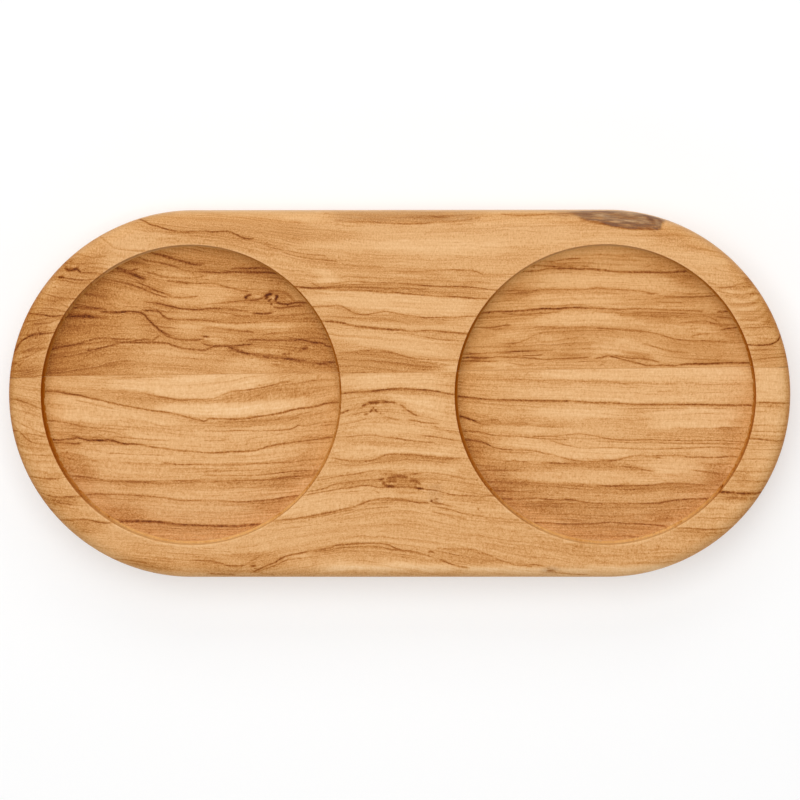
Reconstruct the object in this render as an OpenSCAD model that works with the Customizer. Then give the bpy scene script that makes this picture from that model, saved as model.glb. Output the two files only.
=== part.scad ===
// Two-well mill tray: a stadium-shaped board edge-glued from two staves of
// figured wood, with two round wells in its upper face and four non-slip feet
// let into its underside.
// Millimetres. +X along the tray, +Z up, origin on the table under its centre.

/* [Board] */
// Overall length of the board
tray_l = 175; // [165:1:210]
// Overall width of the board, also the diameter of its round ends
tray_w = 82; // [80:1:90]
// Thickness of the wood
tray_t = 15; // [12:0.5:20]
// Rounding of the upper outer edge
edge_top_r = 3.2; // [1:0.1:5]
// Rounding of the lower outer edge
edge_low_r = 2; // [0.5:0.1:4]

/* [Wells] */
// Diameter of each well, a loose fit around a mill's base
well_d = 67.2; // [50:0.2:68]
// Depth of each well
well_depth = 5; // [3:0.5:7]
// Easing of the well's upper rim
well_rim_r = 0.2; // [0.1:0.1:1.5]
// Cove in the corner of the well's floor
well_cove_r = 0.8; // [0.3:0.1:1.4]
// How far the right well is cut in from the centre of its round end
right_well_in = 0.4; // [0:0.1:1]

/* [Glue joint] */
// Where the glue line crosses the middle of the tray, towards the back
joint_y = 5; // [-10:0.1:10]
// Slant of the glue line against the long edges, in degrees
joint_slant = 0.77; // [-2:0.01:2]
// Thickness of the cured glue
glue_t = 0.15; // [0.05:0.01:0.3]

/* [Feet] */
// Diameter of a foot
foot_d = 10; // [6:0.5:12]
// Height of a foot
foot_h = 2.6; // [2:0.1:4]
// Rounding of a foot's lower edge
foot_edge_r = 0.8; // [0.3:0.1:1.2]
// Distance of the feet from the middle, along the tray
foot_x = 56; // [40:1:58]
// Distance of the feet from the middle, across the tray
foot_y = 25; // [20:1:26]
// Depth of the socket that a foot is let into
socket_depth = 1.4; // [0.8:0.1:1.8]
// Gap round a foot in its socket
socket_gap = 0.3; // [0.1:0.05:0.6]
// Thickness of the adhesive disc above a foot
adhesive_t = 0.2; // [0.1:0.05:0.4]
// How far the adhesive disc stops short of the foot's edge
adhesive_inset = 0.5; // [0:0.1:1]

/* [Hidden] */
$fn = 128;

end_r = tray_w / 2;                             // radius of the round ends
end_x = (tray_l - tray_w) / 2;                  // centres of the round ends
well_x = [-end_x, end_x - right_well_in];       // centres of the wells
under_z = foot_h + adhesive_t - socket_depth;   // underside of the wood
top_z = under_z + tray_t;                       // upper face of the wood
floor_z = top_z - well_depth;                   // floor of the wells
socket_z = under_z + socket_depth;              // roof of a foot's socket
far = 3 * tray_l;

// What a square corner loses when it is rounded, drawn outwards from the corner
// of a quarter circle of radius r that is centred on the origin.
module corner_waste(r) {
    difference() {
        square([r + 1, r + 1]);
        circle(r);
    }
}

// Half of the board's cross-section, from its middle plane out to the edge.
module half_section() {
    difference() {
        translate([0, under_z]) square([end_r, tray_t]);
        translate([end_r - edge_top_r, top_z - edge_top_r]) corner_waste(edge_top_r);
        translate([end_r - edge_low_r, under_z + edge_low_r]) mirror([0, 1]) corner_waste(edge_low_r);
    }
}

// The round end of the board at +X.
module round_end() {
    translate([end_x, 0, 0])
        rotate([0, 0, -90]) rotate_extrude(angle = 180) half_section();
}

// The straight middle of the board, on the +Y side.
module straight_half() {
    translate([-end_x, 0, 0])
        rotate([90, 0, 90]) linear_extrude(2 * end_x) half_section();
}

module board_blank() {
    union() {
        round_end();
        mirror([1, 0, 0]) round_end();
        straight_half();
        mirror([0, 1, 0]) straight_half();
    }
}

// Space that one well takes out of the board: straight wall, eased rim, coved corner.
module well_space() {
    r = well_d / 2;
    rotate_extrude() {
        difference() {
            union() {
                translate([0, floor_z]) square([r, well_depth + 2]);
                translate([r, top_z - well_rim_r]) difference() {
                    square([well_rim_r, well_rim_r + 2]);
                    translate([well_rim_r, 0]) circle(well_rim_r);
                }
            }
            translate([r - well_cove_r, floor_z + well_cove_r]) mirror([0, 1]) corner_waste(well_cove_r);
        }
    }
}

module wells() {
    for (x = well_x) translate([x, 0, 0]) well_space();
}

module foot_sockets() {
    for (sx = [-1, 1], sy = [-1, 1])
        translate([sx * foot_x, sy * foot_y, under_z - 1])
            cylinder(d = foot_d + 2 * socket_gap, h = socket_depth + 1);
}

// Everything behind (side = 1) or in front of (side = -1) the glue.
module stave_side(side) {
    translate([0, joint_y, 0]) rotate([0, 0, joint_slant])
        translate([-far / 2, side > 0 ? glue_t / 2 : -far - glue_t / 2, -far / 2])
            cube([far, far, far]);
}

module stave(side) {
    difference() {
        intersection() {
            board_blank();
            stave_side(side);
        }
        wells();
        foot_sockets();
    }
}

module back_stave() {
    color("#d9a268") stave(1);
}

module front_stave() {
    color("#dca870") stave(-1);
}

// Cured glue between the two staves, flush with every face that the staves have.
module glue_line() {
    color("#a86f38") difference() {
        intersection() {
            board_blank();
            translate([0, joint_y, 0]) rotate([0, 0, joint_slant])
                translate([-far / 2, -glue_t / 2, -far / 2]) cube([far, glue_t, far]);
        }
        wells();
    }
}

// Non-slip foot: a flat-topped button with a rounded lower edge.
module foot(sx, sy) {
    color("#2b2a29") translate([sx * foot_x, sy * foot_y, 0]) rotate_extrude() {
        difference() {
            square([foot_d / 2, foot_h]);
            translate([foot_d / 2 - foot_edge_r, foot_edge_r]) mirror([0, 1]) corner_waste(foot_edge_r);
        }
    }
}

// Double-sided adhesive disc that holds a foot in its socket.
module foot_tape(sx, sy) {
    color("#cfc7b4") translate([sx * foot_x, sy * foot_y, foot_h])
        cylinder(d = foot_d - 2 * adhesive_inset, h = adhesive_t);
}

back_stave();
front_stave();
glue_line();
foot(-1, -1);  // foot_front_left
foot(1, -1);  // foot_front_right
foot(-1, 1);  // foot_back_left
foot(1, 1);  // foot_back_right
foot_tape(-1, -1);  // foot_tape_front_left
foot_tape(1, -1);  // foot_tape_front_right
foot_tape(-1, 1);  // foot_tape_back_left
foot_tape(1, 1);  // foot_tape_back_right
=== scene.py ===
"""Looks of a two-well mill tray: figured wood, glue line, rubber feet, studio light."""
import math

import bpy
import numpy as np
from mathutils import Matrix, Vector
from mathutils.geometry import delaunay_2d_cdt


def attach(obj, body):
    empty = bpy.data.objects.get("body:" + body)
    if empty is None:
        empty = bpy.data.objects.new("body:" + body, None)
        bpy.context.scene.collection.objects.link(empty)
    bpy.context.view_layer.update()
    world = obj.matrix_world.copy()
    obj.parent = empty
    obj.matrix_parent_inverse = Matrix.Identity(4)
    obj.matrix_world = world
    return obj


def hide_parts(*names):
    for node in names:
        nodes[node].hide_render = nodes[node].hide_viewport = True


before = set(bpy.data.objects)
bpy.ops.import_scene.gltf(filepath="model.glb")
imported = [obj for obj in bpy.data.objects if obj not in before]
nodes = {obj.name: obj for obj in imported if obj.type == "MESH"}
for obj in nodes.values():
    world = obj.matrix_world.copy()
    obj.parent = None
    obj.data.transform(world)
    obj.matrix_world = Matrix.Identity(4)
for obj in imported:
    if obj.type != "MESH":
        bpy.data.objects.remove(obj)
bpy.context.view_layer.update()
scene = bpy.context.scene

# ---------------------------------------------------------------- sizes, mm
END_X, OUT_R = 46.5, 41.0
WELLS = {"left": -46.5, "right": 46.1}
TOP, UNDER, FLOOR = 16.4, 1.4, 11.4
EDGE_TOP, EDGE_LOW = 3.2, 2.0
WELL_R, RIM_R, COVE_R = 33.6, 0.2, 0.8
JOINT_Y, SLANT, HALF_GLUE = 5.0, math.radians(0.77), 0.075
SOCKET_R, SOCKET_ROOF, FOOT_X, FOOT_Y = 5.3, 2.8, 56.0, 25.0
SA, CA = math.sin(SLANT), math.cos(SLANT)
FIT_X = 0.9997          # keeps the true arcs of the ends inside the box

# ---------------------------------------------------------------- camera, mm
AIM = np.array([0.24, -1.10, TOP])
EYE = np.array([29.0, 81.4, TOP + 1430.0])
FOCAL, SENSOR, FRAME_PX = 288.6, 36.0, 800.0
ROLL = -0.0018
LOOK = (AIM - EYE) / np.linalg.norm(AIM - EYE)
RIGHT = np.cross(LOOK, [0.0, 1.0, 0.0])
RIGHT /= np.linalg.norm(RIGHT)
UPWARD = np.cross(RIGHT, LOOK)
RIGHT, UPWARD = RIGHT * math.cos(ROLL) + UPWARD * math.sin(ROLL), UPWARD * math.cos(ROLL) - RIGHT * math.sin(ROLL)


def on_plane(u, v, z):
    """Point of the drawing frame carried along the line of sight to height z."""
    u, v = np.asarray(u, float), np.asarray(v, float)
    k = SENSOR / FOCAL / FRAME_PX
    d = LOOK + np.multiply.outer((u - 400.0) * k, RIGHT) + np.multiply.outer((400.0 - v) * k, UPWARD)
    t = (z - EYE[2]) / d[..., 2]
    p = EYE + d * t[..., None]
    return p[..., 0], p[..., 1]


def reach_out(x, y):
    """Distance from the middle line between the centres of the round ends."""
    return np.hypot(x - np.clip(x, -END_X, END_X), y)


# ---------------------------------------------------------------- figure of the wood
# Each line: darkness, half-width in mm, soft shade beside it (+ behind, - in front), then its points.
# "@" after a point changes the darkness from there on.
TOP_BACK = """
.80 .20 0 | 146,222 150,224.5 158,226.5 166,229 172,230.5 180,231.5@.45 190,231.5 205,231 212,232@.8 218,231.5 228,231.5 235,234 241,237 248,239 255,238.5
.30 .20 0 | 134,222 139,223
.30 .20 0 | 104,240 108,243 115,248 125,250 140,251 150,250.5
.30 .20 0 | 80,255 90,257 100,257 107,256
.50 .18 0 | 77,269.5 80,272 86,272.5 95,273 100,274
.30 .18 0 | 80,265.5 88,267 97,268
.45 .18 0 | 70,278.5 78,280 90,279.5 97,279
.40 .18 0 | 70,281.5 78,283 90,283
.35 .20 0 | 45,294 55,297 66,299 78,299
.35 .20 0 | 60,302 65,306 72,309
.45 .20 0 | 32,309 40,308 55,309 62,311
.80 .22 0 | 44,315 52,316.5 60,315.5 66,314.5
.35 .20 0 | 30,322 36,324 48,323 56,320
.75 .22 .10 | 16,349 19,343.5 23,340 28,337 34,335 42,333.7 49,333.2
.30 .18 0 | 22,343 30,339.4 40,337.6 48,337
.30 .18 0 | 22,360 28,356.6 36,352
.25 .18 0 | 24,352 32,347.6 41,344
.30 .20 0 | 16,362 22,358 30,355
.40 .20 0 | 16,366.5 22,364
.30 .22 .08 | 335,220 350,222 370,222 400,224
.30 .20 0 | 322,214 330,213
.20 .20 0 | 408,217 415,217.5 425,216.5
.28 .20 0 | 430,216 436,217 442,217.5 448,217 455,216
.40 .20 .06 | 395,223 405,224 415,224 425,223.5 434,222.5
.35 .20 0 | 440,221 455,221 470,219.5 482,217.5
.25 .20 0 | 445,224 460,224 475,223.5
.35 .20 0 | 500,214 515,215.5 530,215.5 545,214.5 553,214 560,215.5 570,216
.45 .18 0 | 262,244 270,247 280,249.5 290,251 300,253 315,255 328,255.5
.40 .18 0 | 282,252 295,256 310,258.5 325,260 340,261.5
.25 .20 0 | 340,264 360,266.5 385,267
.35 .18 0 | 395,271 405,272 420,271.5 430,270.5 445,270 460,269.5 475,269.5
.40 .18 0 | 455,270 470,270.5 478,272 482,274.5 490,275 505,274.5
.20 .20 0 | 420,276 440,278 460,278
1.0 .25 -.10 | 298,287 310,288 320,288 330,287.5@.45 345,287 370,287.5 400,289
.40 .18 0 | 335,289.5 360,290.5 380,292 395,292.5@.65 405,293.5 415,294.5 425,295 435,296 450,296.5 465,297.5 478,298.5 488,298.5
.35 .18 0 | 310,281 315,285 322,287
.35 .18 0 | 330,284 350,281.5 375,282.5 395,283@.6 410,284 420,285 430,286 440,286.5 455,286.5 468,287 478,288 491,289.5
.50 .18 0 | 395,287.5 405,288 420,289 430,289
.50 .20 0 | 318,306.5 330,306 340,305.5 347,309 354,313 365,314.5 375,313 385,311.5 395,313 405,315 415,316 425,317.5 435,317.5 445,317 455,317.5 465,316.5 475,316
.20 .20 0 | 355,320 370,321.5 385,320 395,321 410,324 430,325 445,323
.75 .32 0 | 322,321 330,321.5 340,322.5 350,325 360,326.5 370,327.5 380,328.5 390,329.5 402,330 410,331@.6 418,331 430,330.5 440,331.5 450,332 460,333.5 467,334
.35 .18 0 | 395,332.5 410,334 425,337 440,339.5 455,340.5 463,341
.30 .20 0 | 350,352 365,350.5 380,350 395,353@.35 400,355 410,357.5 420,359 435,360 450,360
.30 .18 0 | 710,283 717,284
.35 .18 0 | 712,287 722,288 732,286.5 738,284.8
.40 .18 0 | 716,290 722,292 730,293.5 740,294.5 748,294
.25 .18 0 | 712,268 722,271 732,272
.50 .20 0 | 748,344.5 755,345.2 765,345@1.2 770,344.5 776,342 779,339.5 780.5,336
.30 .18 0 | 745,349.5 755,350.5 765,350
.25 .18 0 | 748,354.5 765,355 780,354
.30 .18 0 | 753,360 765,358.5 775,357.5 784,357
"""

LEFT_BACK = """
.90 .27 0 | 150,252.5 158,254.5 165,256.5 175,259 185,262 192,264 200,264.5 206,264
.55 .20 0 | 138,257 143,259 150,261 160,262.5 170,265 178,268 185,270.5 195,271.5 205,272@.9 215,272.5 222,272.5@.8 240,272 255,272.5 265,272.5 275,273.5
.70 .20 0 | 230,268.5 245,268.5 258,268 270,269
.40 .38 0 | 120,262 135,262 145,264 150,265
.60 .20 0 | 110,272 116,271 122,271.5 130,271 140,268
1.0 .34 0 | 129,273 133,274.5 137,276 141,278 147,280
.45 .18 0 | 150,272 158,275 165,277 180,278 195,277.5 205,276
.40 .18 0 | 143,270 150,273 160,275
.50 .18 0 | 115,281 125,283 133,285 140,288 148,291 155,294 163,296.5 170,297.5
.60 .18 0 | 135,281 142,284 150,288 158,291 165,294 172,297 185,297.5 200,296
.60 .18 0 | 165,280 180,282 195,283.5 212,283.5 222,285.5 232,288.5 242,290.5 252,291.5
.50 .18 0 | 140,300.5 150,302.5@.8 158,303.5 165,305 172,306.5 180,308.5 190,309.5 200,309.5 208,308.5 215,308.5 227,308.5@.3 235,310 250,311.5
.40 .18 0 | 200,304 215,303.5 230,302 240,300.8 248,300
.35 .18 0 | 284,315.2 298,314.8 312,313.6
.35 .18 0 | 230,314 240,316 255,316 275,316.5 290,315 305,313.5
.70 .20 0 | 140,310.5 150,310.5 158,311.5 162,315 167,318.5 173,319.5@.5 185,320 200,320 215,321.5 230,323@.4 245,323 260,322
.90 .22 0 | 99,311.5 108,312.5 118,312.5 126,311.5 134,311.5 140,312.5 144,314.5 148,319 152,323.5 157,328 162,332 168,335 173,337
.60 .20 0 | 72,309 80,306.5 85,307.5 92,308 100,308.5 108,310
.50 .18 0 | 68,316 72,314.5 78,315
.90 .38 0 | 79,316.5 86,316 92,317.5 99,317@.4 104,317.3 110,316.5
.40 .18 0 | 108,302 112,305.5 117,309
.50 .20 0 | 60,347.5 68,345.5 76,344 84,342 92,339.5 100,338 108,338@.6 115,338.8 125,339.5 133,340
.70 .20 0 | 85,351 95,349.5 105,347 115,344.5 120,343 128,342 138,340.5 146,339.5 154,340
.50 .18 0 | 112,339 116,341.5 120,343.5
.65 .20 0 | 130,342.5 145,342.5 158,342.5 168,343.5 175,346 183,348.5 195,349.5 205,350@.9 212,347 220,346 228,346 238,345.5 247,344.5 254,344
.80 .20 0 | 162,333.5 168,336.5 175,338.5 185,340 195,340 205,339
.70 .20 0 | 151,341.5 156,338 161,334.5
.70 .20 0 | 200,336 210,337
.50 .18 0 | 200,328 215,328 230,329.5 245,331 255,332.5
.60 .18 0 | 200,342 207,345 215,346
.85 .32 0 | 227,347 236,350 245,353 255,355 265,356.5 275,357.5 285,358.5 295,360 305,361.5@.5 312,362.5 318,363.5@.8 324,363 335,362
.40 .18 0 | 318,363.5 323,364.5 329,366
.30 .18 0 | 230,353 240,355.5
.55 .18 0 | 245,341 252,339.5 262,340 275,340.5 290,340 302,340 312,342@.8 318,343 323,343.5@.4 327,346 332,347
.70 .32 0 | 299,349 304,348.5 309,348
.60 .20 0 | 280,354 286,354 293,353.5
.50 .18 0 | 285,357.5 300,359 312,359
.40 .18 0 | 270,363 280,366
"""

LEFT_FRONT = """
.40 .18 0 | 50,373.5 75,373 100,373
.30 .18 0 | 95,380 125,378.5 145,377
.85 .26 .10 | 45,391 55,391.5 62,392.5 70,394 80,395.5 90,398 100,400@.55 108,402 116,404 126,406 140,408.5 155,411 170,412.5 180,415@.65 190,418 200,420 204,421.5 207,420@.6 210,418.5 225,419 240,419 250,418 258,416.5 265,415.5 272,414.5@.75 282,412.5 292,410 300,408.5 308,407.5 316,406.5 322,404.5 328,403 337,402.5
.30 .18 0 | 72,400 85,402 100,405.5 115,409
.35 .18 0 | 140,392 155,396 170,398.5@.5 180,400 195,399.5@.35 205,399 215,398 222,395 230,392 240,390.5 252,389.5 265,387 275,384.5 282,382 292,380.5
.55 .20 0 | 45,420.5 55,421 65,422.5 75,424.5 82,426@.3 100,428.5 115,429 130,429.5
.40 .18 0 | 95,430 105,431 115,433 125,436 135,438
.40 .18 0 | 97,434.5 103,436
.85 .26 0 | 49,439 58,440 70,439 78,438 84,439.5 90,440.5 97,440.5 105,440 113,440.5 118,442.5 124,444 132,444 140,444.5@.55 150,446.5 160,448 170,449.5 180,451 190,451 203,452.5@.6 220,452.5 233,451.5@.75 245,451.5@.6 255,450.5 262,448.5 270,446@.75 280,444 290,442.5@.6 300,441.5 312,440 322,438.5 333,437
.50 .18 0 | 70,435.5 78,437 84,439
.70 .22 0 | 49,442.5 58,442.5 66,443 75,443.5 83,443
.40 .18 0 | 108,438 118,437 130,438.5 142,439 155,440 170,440.5
.40 .18 0 | 200,440 212,440.5 222,440.5 230,439
.40 .18 0 | 245,440 255,438 262,437 275,435 285,433
.40 .18 0 | 215,421.5 235,422 255,421 275,419.5 290,417 302,414 312,411.5
.50 .18 0 | 290,420 294,418 299,417.5
.45 .18 0 | 203,430.5 220,431 240,430.5 260,431 280,430@.8 290,429 296,427 298,425 303,426@.4 309,425.5 315,424 325,422.5 337,421.5
.35 .18 0 | 318,426 330,425 337,424.5
.30 .18 0 | 300,437 320,437 335,436
.60 .20 0 | 160,463 170,463.5 180,464.5 190,464.5 203,464.5@.5 220,465 240,464.5 255,463.5 270,463@.4 290,462 303,460.5 315,459.5
.40 .18 0 | 105,453.5 120,453.5 135,454.5 150,455 165,455
.30 .18 0 | 60,456 68,458 75,460
.35 .18 0 | 90,460.5 100,461.5
.30 .18 0 | 203,471 220,470.5 245,470 262,469.5
.35 .18 0 | 200,475.5 230,475.5 250,475.5 270,474@.6 285,472 300,471 313,470.5
.50 .18 0 | 290,474.5 302,473
.40 .22 -.12 | 70,476 85,477 95,478.5 105,480 120,480.5 140,481.5 160,481 190,480.5 205,480 230,480.5 250,480.5 265,480 280,478 300,476
.60 .22 -.12 | 84,494.5 95,494 103,494.5 115,494.5 130,495 145,496 155,497 165,498 175,499.5 185,500.5 205,500.5@.35 215,500.5 230,501.5@.6 242,502 250,501.2 260,500.5 275,499 285,497 295,496 303,495
.85 .36 -.12 | 118,521 130,521.5 140,521.5 150,521.5 160,522 168,523 178,524.5 190,525 205,525.5 220,526 235,526 250,525 263,524
"""

RIGHT_BACK = """
.70 .24 0 | 526,266.6@.6 534,265.4 544,265.8 553,266.6@.8 562,267.6 570,268.2
.45 .20 0 | 545,261.5 555,261 565,259.5 575,258.5 582,258
.85 .28 0 | 522,271.8@.7 532,271.2@.9 542,269.8@.8 550,268.6@.7 558,268.4 566,268.4@1.1 572,268.4 578,269@.7 585,269 595,269.3 606,270.6 618,271.8 632,272.2 648,272.2 664,272.4 676,272@.8 688,271@.6
.60 .20 0 | 580,266 590,266.5
.50 .20 0 | 505,291 515,290.5 525,290.5@.35 550,289.5 570,289.5 585,289.5 595,288
.45 .20 0 | 588,289.5 598,288 610,289.5 625,290 640,291 650,293 658,294
.50 .18 0 | 640,293 652,294 660,294
.55 .20 0 | 663,296.5 675,297 690,297 705,296.5 718,295.5
.35 .18 0 | 655,301.5 670,302.5 685,302.5
.80 .26 -.10 | 479,313.5 487,312.5 495,311.5 505,311.5 515,311 525,310.5 535,309.5 545,308.5 555,309 565,308 575,307.5 585,308 595,308@.45 605,308.5 620,309.5 635,308.5 650,309 670,310 690,310.5 705,311
.40 .18 0 | 500,313.5 520,314.5 540,313.5 555,312.5 562,311
.35 .18 0 | 480,318 495,316.5 505,317
.35 .18 0 | 630,311.5 650,312.5 670,313 690,313.5
.25 .18 0 | 560,307 570,305 590,305.5
.90 .30 0 | 716,312.3 724,311.5 731,311
.50 .18 0 | 715,316.5 725,317.5 735,318
.30 .18 0 | 700,314 712,318 720,323
.35 .18 0 | 680,322.5 695,321.5 705,321 712,323 722,325 733,325
.55 .20 0 | 479,327.5 487,328 495,327 503,325.5 512,325
.35 .18 0 | 490,329.5 505,329
.30 .18 0 | 520,327 540,327 560,327.5 575,327 590,326.5
.40 .18 0 | 595,327.5 610,329 625,330 640,331 655,333 665,336 675,339 690,340.5 710,341 730,342
.30 .18 0 | 685,329.5 695,328.5 705,327.5
.60 .20 0 | 720,329.5 730,328.5 740,327
.45 .20 0 | 690,337 698,334.5 705,334 712,333.5
.30 .20 0 | 508,343.5 515,343.5 520,342 527,339.5 535,335 545,332.5 555,331.5
.40 .20 0 | 640,343.5 648,344.5 655,347 665,350 675,351.5 690,353
.50 .20 0 | 461,354 470,354 480,353.5@.4 495,352.5 505,352.5@.75 515,351.5 525,351 540,350.5@.4 555,350
.80 .20 0 | 461,358 470,357.5 480,358@.6 490,357.5 500,356.5 515,356 530,355.5 545,354.5
.60 .20 0 | 500,357.5 515,357.5 530,358 545,359.5 555,359 565,358.5 575,358 585,357.5 592,356
.60 .20 0 | 461,361 475,361 488,361.5 500,361
.35 .18 0 | 505,362 515,364 525,365 535,363
.85 .22 0 | 594,358.7 602,357.5 608,356 615,357 622,359.5 630,361 638,363 645,365 653,365.8@.8 662,365.6@.5
.75 .20 0 | 611,355 620,356.5 630,358.5 640,358.5 648,359.5 655,361 661,362.5
.40 .18 0 | 598,366 605,364
1.1 .27 0 | 655,366@.4 661,365.2@.7 667,365.2@.9 673,365.6@.7 679,365.2@.45 686,364.2@.8 696,364 708,363.8 720,363 732,362.7 744,362.8 754,363
"""

RIGHT_FRONT = """
.75 .24 -.10 | 456,396 465,397 475,398 485,399 497,399.5 510,400 525,400.5 540,400.5 555,401 570,401 585,402 600,402.5 615,403 630,404 645,404.5@.85 690,404.5 720,405 758,405.5
.30 .18 0 | 474,395 482,395 490,397
.90 .28 0 | 456,416 463,417 470,419 475,421 478,422.5@.4 484,424.5 492,425.5
.35 .18 0 | 486,420 500,419.5
.35 .18 0 | 510,422 520,422.5 530,423
.55 .20 0 | 459,431 468,431.5 478,432 486,433.5 492,435 500,435.5 510,436 520,436.5 530,437.5 538,438.5 550,439 560,439.5 570,439.5
.40 .18 0 | 530,437 540,436.5 555,436 570,434.5 580,434 595,436@.5 605,438 615,439.5 630,440 650,439.5 665,440 680,440.5 690,441 705,440.5 720,440.5 735,441.5
.45 .18 0 | 550,440.5 560,443.5 570,446 578,447.5 590,448 610,447.5 620,448 640,449 660,449 680,448.5 700,447.5 720,447.5 740,449
.60 .22 0 | 468,440 480,441.5 487,444@.85 493,447@.6 500,448.5 508,449.5 520,450 533,450.7@.55 545,453.5 555,455 562,457.5 570,459.5 580,461 595,461.5 605,461 613,461 620,459.5 628,457 636,456 645,456 655,457 663,458
.35 .18 0 | 500,452 515,452.5 535,452.5
.60 .20 0 | 650,456 668,455.5 680,455.5 690,457 700,457 715,457.5 730,456.5 739,457.5
.42 .18 0 | 538,462.6 550,463 565,463.5 580,463.5 595,463.5@.3 615,464.5
.35 .18 0 | 620,466 635,468 645,470 655,472
.30 .18 0 | 515,461 530,462
.30 .18 0 | 480,470.5 500,470.5 520,471
.30 .18 0 | 500,379.5 520,379.5 540,380.5 560,380 580,381 595,382 610,382 625,383.5 640,383 655,384 670,384 690,383.5 710,384.5 730,384 750,384
.25 .18 0 | 655,392 680,391.5 695,392 715,392.5 735,391.5
.20 .18 0 | 600,413 620,415.5 640,416
.20 .18 0 | 670,415.5 685,414.5 720,413 745,414
.30 .18 0 | 715,428 735,427.5 748,427.5
.40 .18 0 | 595,441 615,442 635,443 655,443 685,443.5 715,443.5 745,443.5
.35 .18 0 | 690,470 705,472 720,474.5
.30 .18 0 | 520,482 545,483.5 560,484.5 595,487
.40 .18 -.08 | 595,485.5 610,486 630,485.5 650,485 670,483.5 690,484 705,485 718,485
.25 .18 0 | 490,490.5 505,491 525,492 545,492
.60 .22 -.10 | 500,498.5 510,499 520,499 530,498.5 540,498.5 550,499.5 560,500 568,499.5 575,500.5 583,502 592,503 605,503 620,503.5 635,503.5 650,503.5 658,503 664,502@.75 670,501 677,500 685,499.5 695,499 705,498.5 713,498
.65 .20 -.05 | 528,522.5 540,523 550,523.5 560,524 575,524 595,523.5 605,522.5 615,522.5 625,523.5 640,524 655,525 669,527
.22 .18 0 | 540,527 560,528 580,527.5 595,527 615,527 630,528
"""

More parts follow.
